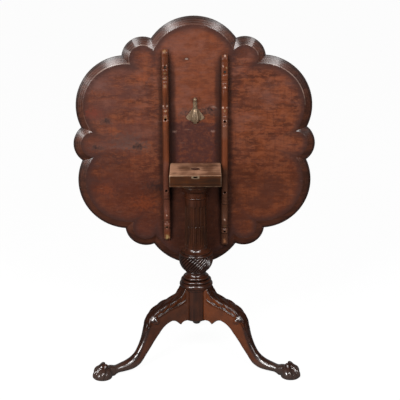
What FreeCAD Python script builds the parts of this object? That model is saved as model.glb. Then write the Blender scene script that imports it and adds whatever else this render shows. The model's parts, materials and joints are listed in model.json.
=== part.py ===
import FreeCAD, Part
import math
import os

V = FreeCAD.Vector
ORIGIN, X, Y, Z = V(0, 0, 0), V(1, 0, 0), V(0, 1, 0), V(0, 0, 1)

# Tilt-top tripod tea table. Sizes are in millimetres, +Z is up, the floor is at zero and the
# pillar stands on the Z axis. The top is drawn lying flat and is then tipped up about its pins.

# Sag of an arc as a share of its chord: quarter round, half round and a slow taper.
QUARTER_SHARE = 0.2071
HALF_SHARE = 0.5
TAPER_SHARE = 0.008

# General fits
OVER = 4.0             # how far cutters run past the wood
JOINT_FIT = 0.1        # glued joints, each side
RUNNING_FIT = 0.08     # pivot pins in the bearers
SLIDE_FIT = 0.3        # sliding bolt, each side
REST_GAP = 0.3         # top over block when the table is set

# Tray top
LOBES = 6
LARGE_REACH = 441.0    # centre of the top to the crown of a large lobe
LARGE_R = 175.3
SMALL_REACH = 417.5    # centre of the top to the crown of a small lobe
SMALL_R = 72.6
TOP_H = 27.0
FIELD_H = 16.5         # board left under the dish
BEVEL_W = 28.0
BEVEL_H = 12.0
RIM_W = 24.0
RIM_STEP = 2.0
LIP_R = 4.0
TOP_SHIFT = 4.9        # top's centre in front of the pillar's axis
TOP_ASIDE = 4.0        # and to the left of it
CORE_SHARE = 0.95      # core disc over the small lobes' centre circle

# Pivot block
BLOCK_W = 174.0
BLOCK_D = 168.0
BLOCK_H = 40.0
PIVOT_INSET = 13.0     # pin's centre from the block's top and rear
PIN_R = 9.0
PIN_IN_BLOCK = 30.0
PIN_IN_BEARER = 18.0
PIN_CHAMFER = 1.0

# Bearers
BEARER_L = 680.0
BEARER_W = 25.0
BEARER_H = 38.0
BEARER_GAP = 1.5       # block's side to bearer
BEARER_FRONT = 338.5   # left bearer's front end from the pillar's axis
BEARER_SLIP = 20.0     # right bearer sits this much further back
FRONT_END = 245.0
REAR_END = 190.0
TIP_W = 21.0
TIP_TAPER = 40.0
# Shaped end from its tip inward: share of the end's length, share of the depth, sag share.
END_SHARES = ((0.0, 0.16, 0.0), (0.09, 0.42, 0.2), (0.25, 0.45, 0.0), (0.3, 0.62, 0.2),
              (0.34, 0.62, 0.0), (0.345, 0.55, 0.0), (0.38, 0.55, 0.0), (0.385, 0.64, 0.0),
              (0.42, 0.64, 0.0), (0.47, 0.78, 0.2), (0.58, 0.8, 0.04), (0.83, 0.75, -0.05),
              (0.86, 0.88, 0.2), (0.9, 0.88, 0.0), (0.925, 0.95, 0.2), (0.97, 0.95, 0.0),
              (1.0, 1.0, 0.2))

# Bearer screws, as shares of the stretch from the pivot to the front end and to the rear end
FRONT_SCREW_SHARES = (0.85, 0.42)
REAR_SCREW_SHARES = (0.3, 0.81)
SCREW_HEAD_R = 4.5
SCREW_HEAD_H = 3.0
SCREW_R = 2.2
SCREW_SEAT = 10.5      # wood between a screw's head and the top
SCREW_BITE = 11.0      # thread's hold in the top

# Pillar, from its foot up
FOOT_Z = 148.0
BASE_R = 46.0
BASE_H = 111.0
BASE_FILLET = 3.0
RING_QUIRK = 6.0
LOW_RING_R = 58.0
LOW_RING_H = 20.0
MID_RING_R = 53.0
MID_RING_H = 11.0
TOP_RING_R = 45.0
TOP_RING_H = 11.0
NECK_R = 32.0
NECK_H = 13.0
NECK_BEAD_R = 36.5
NECK_BEAD_H = 5.0
CUP_R = 60.0
CUP_H = 58.0
CUP_BEAD_R = 58.0
CUP_BEAD_H = 9.0
CUP_BEAD_DEEP = 4.0
FLARE_R = 50.0
FLARE_FILLET = 5.0
FLARE_H = 20.0
SHAFT_FOOT_R = 39.0
SHAFT_TOP_R = 36.5
SHAFT_H = 171.0
ASTRAGAL_R = 39.5
ASTRAGAL_H = 8.0
CAPITAL_R = 47.0
CAPITAL_H = 37.0
CAPITAL_NECK_H = 16.0  # plain neck under the capital's ovolo
ABACUS_R = 54.0
ABACUS_H = 18.0
TENON_R = 15.5
TENON_SHORT = 0.4      # tenon's end below the block's top

# Stop fluting of the shaft
FLUTES = 16
FLUTE_R = 5.4
FLUTE_DEEP = 3.0
FLUTE_START = 7.0      # above the shaft's foot
FLUTE_END = 28.0       # below the shaft's top
CABLE_R = 4.0
CABLE_H = 66.0         # stops' tops above the flutes' start

# Spiral gadroons of the cup
GADROONS = 28
GADROON_TWIST_SHARE = 0.156   # of a full turn, from foot to rim
# Up the cup: share of its height, share of its radius.
CUP_SHARES = ((0.0, 0.64), (0.1, 0.745), (0.22, 0.84), (0.4, 0.93), (0.6, 0.985), (0.8, 1.0),
              (1.0, 0.955))
# Across a gadroon: share of its width, share of the cup's radius there.
GADROON_SHARES = ((0.0, 0.925), (0.2, 0.973), (0.5, 1.0), (0.8, 0.973), (1.0, 0.925))

# Tenon wedge
WEDGE_TOP = 3.2
WEDGE_TIP = 1.2
WEDGE_H = 24.0

# Legs
LEG_NAMES = ("leg_rear", "leg_front_left", "leg_front_right")
LEG_REACH = 370.0      # pillar's axis to the middle of a foot
LEG_SHORT = 2.0        # leg's top under the pillar's lowest ring
LEG_W = 48.0
# Stations along a leg: upper edge as shares of the reach and of the leg's height, lower edge as shares
# of the reach and of the pillar's foot height, width over the leg's width, then the rounding of the
# upper and of the lower corners over the station's width.
LEG_SHARES = (
    (0.092, 1.035, 0.092, 1.05, 0.96, 0.15, 0.04), (0.16, 1.014, 0.162, 1.065, 0.96, 0.16, 0.04),
    (0.19, 0.96, 0.2, 1.08, 0.96, 0.17, 0.04), (0.257, 0.914, 0.249, 1.092, 0.96, 0.19, 0.05),
    (0.351, 0.878, 0.303, 1.068, 0.98, 0.23, 0.07), (0.432, 0.825, 0.354, 1.013, 1.0, 0.27, 0.1),
    (0.495, 0.76, 0.395, 0.925, 1.0, 0.29, 0.14), (0.535, 0.673, 0.424, 0.824, 0.96, 0.31, 0.18),
    (0.559, 0.564, 0.454, 0.709, 0.88, 0.33, 0.23), (0.581, 0.447, 0.484, 0.588, 0.78, 0.35, 0.28),
    (0.611, 0.342, 0.519, 0.446, 0.68, 0.37, 0.33), (0.649, 0.249, 0.562, 0.31, 0.62, 0.4, 0.37),
    (0.708, 0.181, 0.616, 0.16, 0.6, 0.4, 0.38), (0.789, 0.14, 0.719, 0.06, 0.62, 0.39, 0.38),
    (0.878, 0.134, 0.854, 0.036, 0.66, 0.38, 0.38))
# A leg's end inside its foot, whose edges are as shares of the ball's radius short of the foot's middle.
LEG_END_SHARES = (0.54939394, 0.14, 0.66151515, 0.04, 0.68, 0.36, 0.36)
# Drop under each leg, out from the brace's end: shares of its length and of its depth, sag share.
DROP_L = 54.0
DROP_H = 9.5
DROP_SHARES = ((0.0, 0.0, 0.0), (0.33, -0.9, -0.14), (0.4, -0.9, 0.5), (1.0, 1.2, -0.1))
DROP_ROOT = 22.0       # drop's own root up inside the leg
DROP_CLEAR = 1.0       # brace's end to the drop
DROP_INSET = 0.2
TONGUE_R = 29.0        # pillar's axis to the tongue's end
TONGUE_W = 22.0
TONGUE_NECK = 15.0
TONGUE_SHORT = 16.0    # tongue's top under the pillar's lowest ring

# Ball and claw feet
BALL_R = 33.0
BALL_FLAT = 24.5       # cut off the ball underneath
CLAW_R = 9.5
# Turns of the claws and angles along them from the ball's top are shares of a right angle.
CLAW_TURN_SHARES = (0.0, 0.69, -0.69)
# Along a claw: angle, share of the claw's radius.
CLAW_SHARES = ((0.09, 1.05), (0.3, 0.86), (0.5, 0.62), (0.64, 0.8), (0.8, 0.68), (0.94, 0.52),
               (1.08, 0.3))
SPUR_TURN_SHARE = 2.0
SPUR_SHARES = ((0.5, 1.0), (0.68, 1.05), (0.88, 0.9), (1.05, 0.5))
CLAW_OUT_SHARE = 0.12  # claw's centre outside the ball, over the claw's radius

# Iron brace under the pillar
BRACE_T = 3.5
BRACE_W = 20.0
BRACE_PAST = 7.0       # arms past the pillar's side
BRACE_HUB_R = 44.5
NAIL_R = 1.6
NAIL_HEAD_R = 3.6
NAIL_HEAD_H = 1.4
NAIL_L = 22.0
NAIL_SHARES = (0.62, 0.925)

# Catch: fan plate, bolt in a ribbed case, spring, guiding staple and knob
CATCH_T = 2.0
CATCH_GAP = 2.0        # block's front to the plate
FAN_W = 62.0
FAN_H = 16.0
FAN_TOP = 48.0         # fan's foot to the stem
STEM_W = 14.0
BOLT_DROP = 6.8        # bolt's middle under the top
BOLT_T = 4.0
BOLT_W = 16.0
BOLT_L = 18.0
NOSE_W = 12.0
NOSE_HOLD = 4.0        # nose inside the block's front
NOSE_SLOPE = 2.4
ROD_R = 2.0
ROD_PAST = 2.5         # rod's end past the knob's middle
CASE_INSET = 2.5       # plate's foot to the case
CASE_LIP = 4.5         # case's foot to the bolt's shoulder
CASE_SIDE = 5.0        # bolt's side to the case's foot outside
CASE_HEAD_R = 11.0
CASE_WALL = 3.0
RIB_TURN_SHARE = 0.233 # of a right angle
RIB_R = 6.5
RIB_TIP_R = 2.5
RIB_L = 37.0
SPRING_L = 18.0
SPRING_R = 3.1
SPRING_WIRE_R = 0.5
SPRING_TURNS = 4
STAPLE_PAST = 8.0      # case to staple
STAPLE_L = 6.0
STAPLE_WALL = 3.0
KNOB_PAST = 20.0       # staple to the knob's middle
KNOB_R = 6.5
KNOB_NECK_R = 3.6
KNOB_COLLAR_R = 5.2
KNOB_COLLAR_H = 3.0
KNOB_H = 17.0
CATCH_SCREW_X = 23.5
CATCH_SCREW_UP = 14.0  # plate's foot to its two lower screws
CATCH_SCREW_R = 1.3
CATCH_HEAD_R = 2.6
CATCH_HEAD_H = 1.2
CATCH_SCREW_L = 10.0

# Strike in the block's front face
STRIKE_W = 26.0
STRIKE_H = 8.0
STRIKE_T = 1.6
SLOT_ROOM = 0.8        # about the bolt's nose
SLOT_DEEP = 14.0
STRIKE_SCREW_X = 10.0
STRIKE_SCREW_L = 9.0

# Heights and places that follow from the sizes above
RINGS_Z = FOOT_Z + BASE_H + BASE_FILLET
NECK_Z = RINGS_Z + LOW_RING_H + MID_RING_H + TOP_RING_H
CUP_Z = NECK_Z + NECK_H + NECK_BEAD_H
SHAFT_Z = CUP_Z + CUP_H + CUP_BEAD_H + FLARE_FILLET + FLARE_H
CAPITAL_Z = SHAFT_Z + SHAFT_H + ASTRAGAL_H
BLOCK_Z = CAPITAL_Z + CAPITAL_H + ABACUS_H
BLOCK_TOP = BLOCK_Z + BLOCK_H
PIVOT_Y = BLOCK_D / 2 - PIVOT_INSET
PIVOT_Z = BLOCK_TOP - PIVOT_INSET
UNDER_Z = BLOCK_TOP + REST_GAP
BEARER_X = BLOCK_W / 2 + BEARER_GAP
BOLT_Z = UNDER_Z - BOLT_DROP
SLOT_W = NOSE_W + 2 * SLOT_ROOM
SLOT_H = BOLT_T + 2 * SLOT_ROOM
LEG_TOP = FOOT_Z + BASE_H - LEG_SHORT
LEG_TURNS = {name: 90 + i * 360 / len(LEG_NAMES) for i, name in enumerate(LEG_NAMES)}
BRACE_REACH = BASE_R + BRACE_PAST

# Places along the catch, forward from the pivot
BLOCK_FRONT = BLOCK_D - PIVOT_INSET
NOSE_TIP = BLOCK_FRONT - NOSE_HOLD
CATCH_START = BLOCK_FRONT + CATCH_GAP
CASE_START = CATCH_START + CASE_INSET
BOLT_SHOULDER = CASE_START + CASE_LIP
BOLT_TOP = BOLT_SHOULDER + BOLT_L
CASE_END = BOLT_TOP + SPRING_L + CASE_WALL
STAPLE_AT = CASE_END + STAPLE_PAST
KNOB_AT = STAPLE_AT + STAPLE_L + KNOB_PAST
CATCH_END = KNOB_AT - STEM_W / 2


def closed_wire(points, place):
    """Closed run of lines and arcs; a third number is the sag share of the arc that ends there."""
    edges = []
    for p, q in zip(points, points[1:] + points[:1]):
        a, b = place(p[0], p[1]), place(q[0], q[1])
        if len(q) == 2 or not q[2]:
            edges.append(Part.makeLine(a, b))
        else:
            run, rise = q[0] - p[0], q[1] - p[1]
            crown = place((p[0] + q[0]) / 2 + q[2] * rise, (p[1] + q[1]) / 2 - q[2] * run)
            edges.append(Part.Arc(a, crown, b).toShape())
    return Part.Wire(edges)


def turned(points):
    """Solid of revolution about Z from radius and height pairs."""
    face = Part.Face(closed_wire(points, lambda r, z: V(r, 0, z)))
    return face.revolve(ORIGIN, Z, 360)


def slab(points, place, run):
    """Flat outline drawn out along a direction."""
    return Part.Face(closed_wire(points, place)).extrude(run)


def box(x0, x1, y0, y1, z0, z1):
    return Part.makeBox(x1 - x0, y1 - y0, z1 - z0, V(x0, y0, z0))


def around(shape, turn):
    return shape.rotated(ORIGIN, Z, turn)


def tipped(shape):
    """From the set table to the tipped-up top."""
    return shape.rotated(V(0, PIVOT_Y, PIVOT_Z), X, -90)


def countersunk(head, head_h, shank, length):
    """Screw or nail along Z, head up at zero."""
    return turned([(0, -length), (shank / 2, -length), (shank, -length + shank), (shank, -head_h),
                   (head, 0), (0, 0)])


def lobe_blank(r):
    return turned([(0, 0), (r - BEVEL_W, 0), (r, BEVEL_H), (r, TOP_H - LIP_R),
                   (r - LIP_R, TOP_H, QUARTER_SHARE), (0, TOP_H)])


def lobe_dish(r):
    return turned([(0, FIELD_H), (r - RIM_W, FIELD_H), (r - RIM_W, FIELD_H + RIM_STEP),
                   (r - LIP_R - LIP_R, TOP_H - LIP_R, QUARTER_SHARE),
                   (r - LIP_R, TOP_H, -QUARTER_SHARE), (r - LIP_R, TOP_H + OVER),
                   (0, TOP_H + OVER)])


def lobed(make, core):
    """Twelve lobes, large and small by turns, joined over a core disc."""
    discs = []
    for reach, r, start in ((LARGE_REACH, LARGE_R, 180 / LOBES), (SMALL_REACH, SMALL_R, 0)):
        disc = make(r).translated(V(reach - r, 0, 0))
        discs += [around(disc, start + i * 360 / LOBES) for i in range(LOBES)]
    return core.fuse(discs).removeSplitter()


def tray_top(screws):
    core_r = CORE_SHARE * (SMALL_REACH - SMALL_R)
    blank = lobed(lobe_blank, Part.makeCylinder(core_r, TOP_H))
    dish = lobed(lobe_dish, Part.makeCylinder(core_r, TOP_H + OVER - FIELD_H, V(0, 0, FIELD_H)))
    top = blank.cut(dish).translated(V(-TOP_ASIDE, -TOP_SHIFT, UNDER_Z))
    return top.cut(screws)


def bearer_side():
    """Side outline of a bearer: along from its front end, depth below the top."""
    front = [(a * FRONT_END, -d * BEARER_H, s) for a, d, s in END_SHARES]
    rear = [(BEARER_L - a * REAR_END, -d * BEARER_H) for a, d, s in END_SHARES]
    sags = [0] + [s for a, d, s in END_SHARES][:0:-1]
    rear = [p + (s,) for p, s in zip(rear[::-1], sags)]
    return [(0, 0)] + front + rear + [(BEARER_L, 0)]


def bearer_plan():
    half, tip, far = BEARER_W / 2, TIP_W / 2, BEARER_L - TIP_TAPER
    return [(0, -tip), (TIP_TAPER, -half, TAPER_SHARE), (far, -half),
            (BEARER_L, -tip, TAPER_SHARE), (BEARER_L, tip), (far, half, TAPER_SHARE),
            (TIP_TAPER, half), (0, tip, TAPER_SHARE)]


def bearer(side, front, screws):
    """Shaped bearer, bored for its pin and counterbored for its screws."""
    x = side * (BEARER_X + BEARER_W / 2)
    body = slab(bearer_side(), lambda a, b: V(x - BEARER_W, -front + a, UNDER_Z + b),
                V(2 * BEARER_W, 0, 0))
    plan = slab(bearer_plan(), lambda a, b: V(x + b, -front + a, UNDER_Z - 2 * BEARER_H),
                V(0, 0, 3 * BEARER_H))
    bore = Part.makeCylinder(PIN_R + RUNNING_FIT, PIN_IN_BEARER + BEARER_GAP + JOINT_FIT,
                             V(side * BLOCK_W / 2, PIVOT_Y, PIVOT_Z), X * side)
    return body.common(plan).cut([bore] + screws + screw_wells(x, front))


def screw_places(x, front):
    ahead, behind = front + PIVOT_Y, BEARER_L - front - PIVOT_Y
    along = [-share * ahead for share in FRONT_SCREW_SHARES]
    along += [share * behind for share in REAR_SCREW_SHARES]
    return [V(x, PIVOT_Y + y, UNDER_Z - SCREW_SEAT) for y in along]


def screw_wells(x, front):
    return [Part.makeCylinder(SCREW_HEAD_R, BEARER_H, p, -Z) for p in screw_places(x, front)]


def bearer_screws(side, front):
    x = side * (BEARER_X + BEARER_W / 2)
    screw = countersunk(SCREW_HEAD_R, SCREW_HEAD_H, SCREW_R, SCREW_SEAT + SCREW_BITE)
    screw = screw.rotated(ORIGIN, X, 180)
    return [screw.translated(p) for p in screw_places(x, front)]


def pivot_pin(side):
    length = PIN_IN_BLOCK + BEARER_GAP + PIN_IN_BEARER
    pin = turned([(0, 0), (PIN_R - PIN_CHAMFER, 0), (PIN_R, PIN_CHAMFER),
                  (PIN_R, length - PIN_CHAMFER), (PIN_R - PIN_CHAMFER, length), (0, length)])
    pin = pin.rotated(ORIGIN, Y, 90 * side)
    return pin.translated(V(side * (BLOCK_W / 2 - PIN_IN_BLOCK), PIVOT_Y, PIVOT_Z))


def pivot_block(pins, strike_parts):
    """Block with its rear top edge rounded about the pins, bored for pins, tenon and catch."""
    front, rear = -BLOCK_D / 2, BLOCK_D / 2
    block = slab([(front, BLOCK_Z), (rear, BLOCK_Z), (rear, PIVOT_Z),
                  (PIVOT_Y, BLOCK_TOP, QUARTER_SHARE), (front, BLOCK_TOP)],
                 lambda a, b: V(-BLOCK_W / 2, a, b), V(BLOCK_W, 0, 0))
    mortise = Part.makeCylinder(TENON_R + JOINT_FIT, BLOCK_H, V(0, 0, BLOCK_Z))
    slot = box(-SLOT_W / 2, SLOT_W / 2, front, front + SLOT_DEEP,
               BOLT_Z - SLOT_H / 2, BOLT_Z + SLOT_H / 2)
    return block.cut([mortise, slot] + pins + strike_parts)


def strike_screws():
    screw = countersunk(CATCH_HEAD_R, CATCH_HEAD_H, CATCH_SCREW_R, STRIKE_SCREW_L)
    screw = screw.rotated(ORIGIN, X, 90)
    return [screw.translated(V(x, -BLOCK_D / 2, BOLT_Z)) for x in (-STRIKE_SCREW_X, STRIKE_SCREW_X)]


def strike_plate(screws):
    front, top = -BLOCK_D / 2, BOLT_Z + STRIKE_H / 2
    plate = box(-STRIKE_W / 2, STRIKE_W / 2, front, front + STRIKE_T, top - STRIKE_H, top)
    slot = box(-SLOT_W / 2, SLOT_W / 2, front - OVER, front + STRIKE_T + OVER,
               BOLT_Z - SLOT_H / 2, BOLT_Z + SLOT_H / 2)
    return plate.cut([slot] + screws)


def base_outline(fit):
    """Foot of the pillar and its lowest ring, from the axis outward and up."""
    side, low, step_z = BASE_R + fit, LOW_RING_R - RING_QUIRK + fit, FOOT_Z + BASE_H - fit
    return ([(0, FOOT_Z), (side, FOOT_Z), (side, step_z), (low, step_z), (low, RINGS_Z)]
            + bulged(low, RINGS_Z, LOW_RING_R + fit, LOW_RING_H))


def lower_pillar():
    mid_z = RINGS_Z + LOW_RING_H
    top_z = mid_z + MID_RING_H
    mid, high = MID_RING_R - RING_QUIRK, TOP_RING_R - RING_QUIRK
    bead = NECK_BEAD_R - NECK_BEAD_H / 2
    return turned(base_outline(0) + [(mid, mid_z)]
                  + bulged(mid, mid_z, MID_RING_R, MID_RING_H) + [(high, top_z)]
                  + bulged(high, top_z, TOP_RING_R, TOP_RING_H)
                  + [(bead, CUP_Z - NECK_BEAD_H, -QUARTER_SHARE), (bead, CUP_Z, HALF_SHARE),
                     (0, CUP_Z)])


def bulged(r, z, crown, h):
    """Arc from a point straight up to the next, out to a crown radius."""
    return [(r, z + h, (crown - r) / h)]


def cup():
    """Bowl of the pillar: one spiral gadroon as a patch, patterned round and closed at both ends."""
    step, twist = 360 / GADROONS, 360 * GADROON_TWIST_SHARE
    patch = Part.BSplineSurface()
    patch.interpolate([[polar(CUP_R * girth * swell, twist * height + step * across,
                              CUP_Z + CUP_H * height) for across, swell in GADROON_SHARES]
                       for height, girth in CUP_SHARES])
    faces = [around(patch.toShape(), i * step) for i in range(GADROONS)]
    for end in patch.bounds()[:2]:
        edge = patch.uIso(end).toShape()
        faces.append(Part.Face(Part.Wire([around(edge, i * step) for i in range(GADROONS)])))
    shell = Part.makeShell(faces)
    shell.sewShape()
    return Part.Solid(shell)


def polar(r, turn, z):
    return V(r * math.cos(math.radians(turn)), r * math.sin(math.radians(turn)), z)


def upper_pillar():
    z = CUP_Z + CUP_H
    inner = CUP_BEAD_R - CUP_BEAD_DEEP
    flare_z = z + CUP_BEAD_H + FLARE_FILLET
    shaft_top, cap = SHAFT_Z + SHAFT_H, CAPITAL_Z + CAPITAL_H
    return turned([(0, z), (inner, z)] + bulged(inner, z, CUP_BEAD_R, CUP_BEAD_H)
                  + [(FLARE_R, z + CUP_BEAD_H), (FLARE_R, flare_z),
                     (SHAFT_FOOT_R, SHAFT_Z, -QUARTER_SHARE), (SHAFT_TOP_R, shaft_top)]
                  + bulged(SHAFT_TOP_R, shaft_top, ASTRAGAL_R, ASTRAGAL_H)
                  + [(SHAFT_TOP_R, CAPITAL_Z + CAPITAL_NECK_H), (CAPITAL_R, cap, QUARTER_SHARE),
                     (ABACUS_R, cap), (ABACUS_R, BLOCK_Z), (TENON_R, BLOCK_Z),
                     (TENON_R, BLOCK_TOP - TENON_SHORT), (0, BLOCK_TOP - TENON_SHORT)])


def rod(r, a, b):
    """Round-ended rod between two points."""
    run = b - a
    return Part.makeCylinder(r, run.Length, a, run).fuse([Part.makeSphere(r, a),
                                                          Part.makeSphere(r, b)])


def flute():
    """Cutter of one stop flute: a long rod less the cable that fills its lower part."""
    low, high = SHAFT_Z + FLUTE_START, SHAFT_Z + SHAFT_H - FLUTE_END
    lean = (SHAFT_TOP_R - SHAFT_FOOT_R) / SHAFT_H

    def on_shaft(z, out):
        return V(SHAFT_FOOT_R + lean * (z - SHAFT_Z) + out, 0, z)

    out = FLUTE_R - FLUTE_DEEP
    channel = rod(FLUTE_R, on_shaft(low, out), on_shaft(high, out))
    cable = rod(CABLE_R, on_shaft(low - FLUTE_R, -CABLE_R), on_shaft(low + CABLE_H, -CABLE_R))
    return channel.cut(cable)


def pillar(wedge):
    cutter = flute()
    flutes = [around(cutter, i * 360 / FLUTES) for i in range(FLUTES)]
    sockets = [around(tongue(JOINT_FIT), turn) for turn in LEG_TURNS.values()]
    upper = upper_pillar().cut(flutes)
    lower = lower_pillar().cut(sockets)
    return upper.fuse([cup(), lower]).removeSplitter().cut(wedge)


def tenon_wedge():
    top = BLOCK_TOP - TENON_SHORT
    blade = slab([(-WEDGE_TIP / 2, top - WEDGE_H), (WEDGE_TIP / 2, top - WEDGE_H),
                  (WEDGE_TOP / 2, top), (-WEDGE_TOP / 2, top)],
                 lambda a, b: V(-TENON_R, a, b), V(2 * TENON_R, 0, 0))
    return blade.common(Part.makeCylinder(TENON_R, BLOCK_TOP))


def tongue(fit):
    """Dovetailed tongue of a leg along +X, or its socket when a fit is given."""
    tail, neck, mouth = TONGUE_W / 2 + fit, TONGUE_NECK / 2 + fit, BASE_R + OVER
    return slab([(TONGUE_R - fit, -tail), (mouth, -neck), (mouth, neck), (TONGUE_R - fit, tail)],
                lambda a, b: V(a, b, FOOT_Z), V(0, 0, BASE_H - TONGUE_SHORT + fit))


def leg_station(up_r, low_r, shares):
    """Round-cornered section of a leg between its upper and lower edge, at these distances out."""
    up_z, low_z, wide, upper, lower = shares[1], *shares[3:]
    low, up = V(low_r, 0, low_z * FOOT_Z), V(up_r, 0, up_z * LEG_TOP)
    along, h = (up - low).normalize(), (up - low).Length
    half = wide * LEG_W / 2
    c, d = 2 * half * lower, 2 * half * upper
    points = [(c - half, 0, QUARTER_SHARE), (half - c, 0), (half, c, QUARTER_SHARE), (half, h - d),
              (half - d, h, QUARTER_SHARE), (d - half, h), (-half, h - d, QUARTER_SHARE), (-half, c)]
    return closed_wire(points, lambda a, b: low + Y * a + along * b)


def leg_drop():
    """Pointed drop under a leg, from inside the pillar's side outward."""
    half = LEG_SHARES[0][4] * LEG_W / 2 - DROP_INSET
    start, root = BRACE_REACH + DROP_CLEAR, FOOT_Z + DROP_ROOT
    edge = [(start + a * DROP_L, FOOT_Z + b * DROP_H, sag) for a, b, sag in DROP_SHARES]
    points = [(BASE_R - OVER, root), (BASE_R - OVER, FOOT_Z)] + edge + [(start + DROP_L, root)]
    return slab(points, lambda a, b: V(a, -half, b), V(0, 2 * half, 0))


def claw(turn, shares):
    """Tapering talon over the ball, as round sections along a meridian."""
    centre = V(LEG_REACH, 0, BALL_R - BALL_FLAT)
    outward = polar(1, 90 * turn, 0)
    wires = []
    for angle, share in shares:
        r, a = CLAW_R * share, math.radians(90 * angle)
        radial = outward * math.sin(a) + Z * math.cos(a)
        lateral = Z.cross(outward)
        at = centre + radial * (BALL_R + CLAW_OUT_SHARE * r)
        points = [(-r, 0, QUARTER_SHARE), (0, -r, QUARTER_SHARE), (r, 0, QUARTER_SHARE),
                  (0, r, QUARTER_SHARE)]
        wires.append(closed_wire(points, lambda p, q: at + lateral * p + radial * q))
    return Part.makeLoft(wires, True)


def foot():
    centre = V(LEG_REACH, 0, BALL_R - BALL_FLAT)
    claws = [claw(turn, CLAW_SHARES) for turn in CLAW_TURN_SHARES]
    claws.append(claw(SPUR_TURN_SHARE, SPUR_SHARES))
    return Part.makeSphere(BALL_R, centre).fuse(claws)


def leg():
    """One leg along +X, shouldered to the pillar, with its tongue and foot."""
    wires = [leg_station(s[0] * LEG_REACH, s[2] * LEG_REACH, s) for s in LEG_SHARES]
    end_up, end_low = (LEG_REACH - LEG_END_SHARES[k] * BALL_R for k in (0, 2))
    limb = Part.makeLoft(wires + [leg_station(end_up, end_low, LEG_END_SHARES)], True)
    pillar_room = turned(base_outline(JOINT_FIT) + [(0, RINGS_Z + LOW_RING_H)])
    floor = box(0, 2 * LEG_REACH, -LEG_REACH, LEG_REACH, -2 * BALL_R, 0)
    limb = limb.fuse(leg_drop()).cut(pillar_room)
    return limb.fuse([tongue(0), foot()]).removeSplitter().cut(floor)


def brace_nails():
    nail = countersunk(NAIL_HEAD_R, NAIL_HEAD_H, NAIL_R, NAIL_L).rotated(ORIGIN, X, 180)
    places = [(share * BRACE_REACH, turn) for share in NAIL_SHARES for turn in LEG_TURNS.values()]
    return [nail.translated(polar(r, turn, FOOT_Z - BRACE_T)) for r, turn in places]


def leg_brace(nails):
    arm = box(0, BRACE_REACH, -BRACE_W / 2, BRACE_W / 2, FOOT_Z - BRACE_T, FOOT_Z)
    hub = Part.makeCylinder(BRACE_HUB_R, BRACE_T, V(0, 0, FOOT_Z - BRACE_T))
    arms = [around(arm, turn) for turn in LEG_TURNS.values()]
    return hub.fuse(arms).removeSplitter().cut(nails)


def catch_at(x, forward, down):
    """Point of the catch on the set table."""
    return V(x, PIVOT_Y - forward, UNDER_Z - down)


def catch_box(half, near, far, top, bottom):
    return box(-half, half, PIVOT_Y - far, PIVOT_Y - near, UNDER_Z - bottom, UNDER_Z - top)


def catch_screws():
    screw = countersunk(CATCH_HEAD_R, CATCH_HEAD_H, CATCH_SCREW_R, CATCH_SCREW_L)
    screw = screw.rotated(ORIGIN, X, 180)
    up = CATCH_START + CATCH_SCREW_UP
    places = [(-CATCH_SCREW_X, up), (CATCH_SCREW_X, up), (0, CATCH_END - STEM_W / 2)]
    return [screw.translated(catch_at(x, f, CATCH_T)) for x, f in places]


def catch_plate(screws):
    """Fan with a scalloped foot, drawn in to a round-ended stem."""
    half, stem, low = FAN_W / 2, STEM_W / 2, CATCH_START + FAN_H
    lobe = half / 3
    points = [(-half, low), (-lobe, CATCH_START + FAN_H / 3, QUARTER_SHARE),
              (lobe, CATCH_START + FAN_H / 3, QUARTER_SHARE), (half, low, QUARTER_SHARE),
              (stem, CATCH_START + FAN_TOP), (stem, CATCH_END - stem),
              (-stem, CATCH_END - stem, HALF_SHARE), (-stem, CATCH_START + FAN_TOP)]
    plate = slab(points, lambda a, b: catch_at(a, b, 0), V(0, 0, -CATCH_T))
    return plate.cut(screws)


def catch_case():
    """Ribbed shell over the bolt: a barrel between two ribs, hollow for bolt and spring."""
    seat = catch_at(0, CASE_START, CATCH_T)
    case = Part.makeCone(BOLT_W / 2 + CASE_SIDE, CASE_HEAD_R, CASE_END - CASE_START, seat, -Y)
    head = catch_at(0, CASE_END, CATCH_T)
    rib = Part.makeCone(RIB_TIP_R, RIB_R, RIB_L, head, Y)
    turn = 90 * RIB_TURN_SHARE
    case = case.fuse([rib.rotated(head, Z, turn), rib.rotated(head, Z, -turn)])
    case = case.cut(catch_box(FAN_W, CATCH_START - FAN_W, CATCH_END, -FAN_W, CATCH_T))
    bolt_t = BOLT_T / 2 + SLIDE_FIT
    room = catch_box(BOLT_W / 2 + SLIDE_FIT, BOLT_SHOULDER, BOLT_TOP + CASE_WALL + SPRING_R * 2,
                     BOLT_DROP - bolt_t, BOLT_DROP + bolt_t)
    mouth = catch_box(NOSE_W / 2 + SLIDE_FIT, CATCH_START - OVER, BOLT_SHOULDER,
                      BOLT_DROP - bolt_t, BOLT_DROP + bolt_t)
    spring = Part.makeCylinder(SPRING_R + SPRING_WIRE_R + SLIDE_FIT,
                               CASE_END - CASE_WALL - BOLT_SHOULDER,
                               catch_at(0, BOLT_SHOULDER, BOLT_DROP), -Y)
    hole = Part.makeCylinder(ROD_R + SLIDE_FIT, CASE_END, catch_at(0, BOLT_TOP, BOLT_DROP), -Y)
    return case.cut([room, mouth, spring, hole]).removeSplitter()


def catch_staple():
    """Small bridge that guides the bolt's rod."""
    out = ROD_R + SLIDE_FIT + STAPLE_WALL
    body = catch_box(out, STAPLE_AT, STAPLE_AT + STAPLE_L, CATCH_T, BOLT_DROP)
    arch = Part.makeCylinder(out, STAPLE_L, catch_at(0, STAPLE_AT, BOLT_DROP), -Y)
    hole = Part.makeCylinder(ROD_R + SLIDE_FIT, STAPLE_L, catch_at(0, STAPLE_AT, BOLT_DROP), -Y)
    body = body.fuse(arch)
    over = catch_box(FAN_W, STAPLE_AT - OVER, STAPLE_AT + STAPLE_L + OVER, -FAN_W, CATCH_T)
    return body.cut([over, hole]).removeSplitter()


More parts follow.
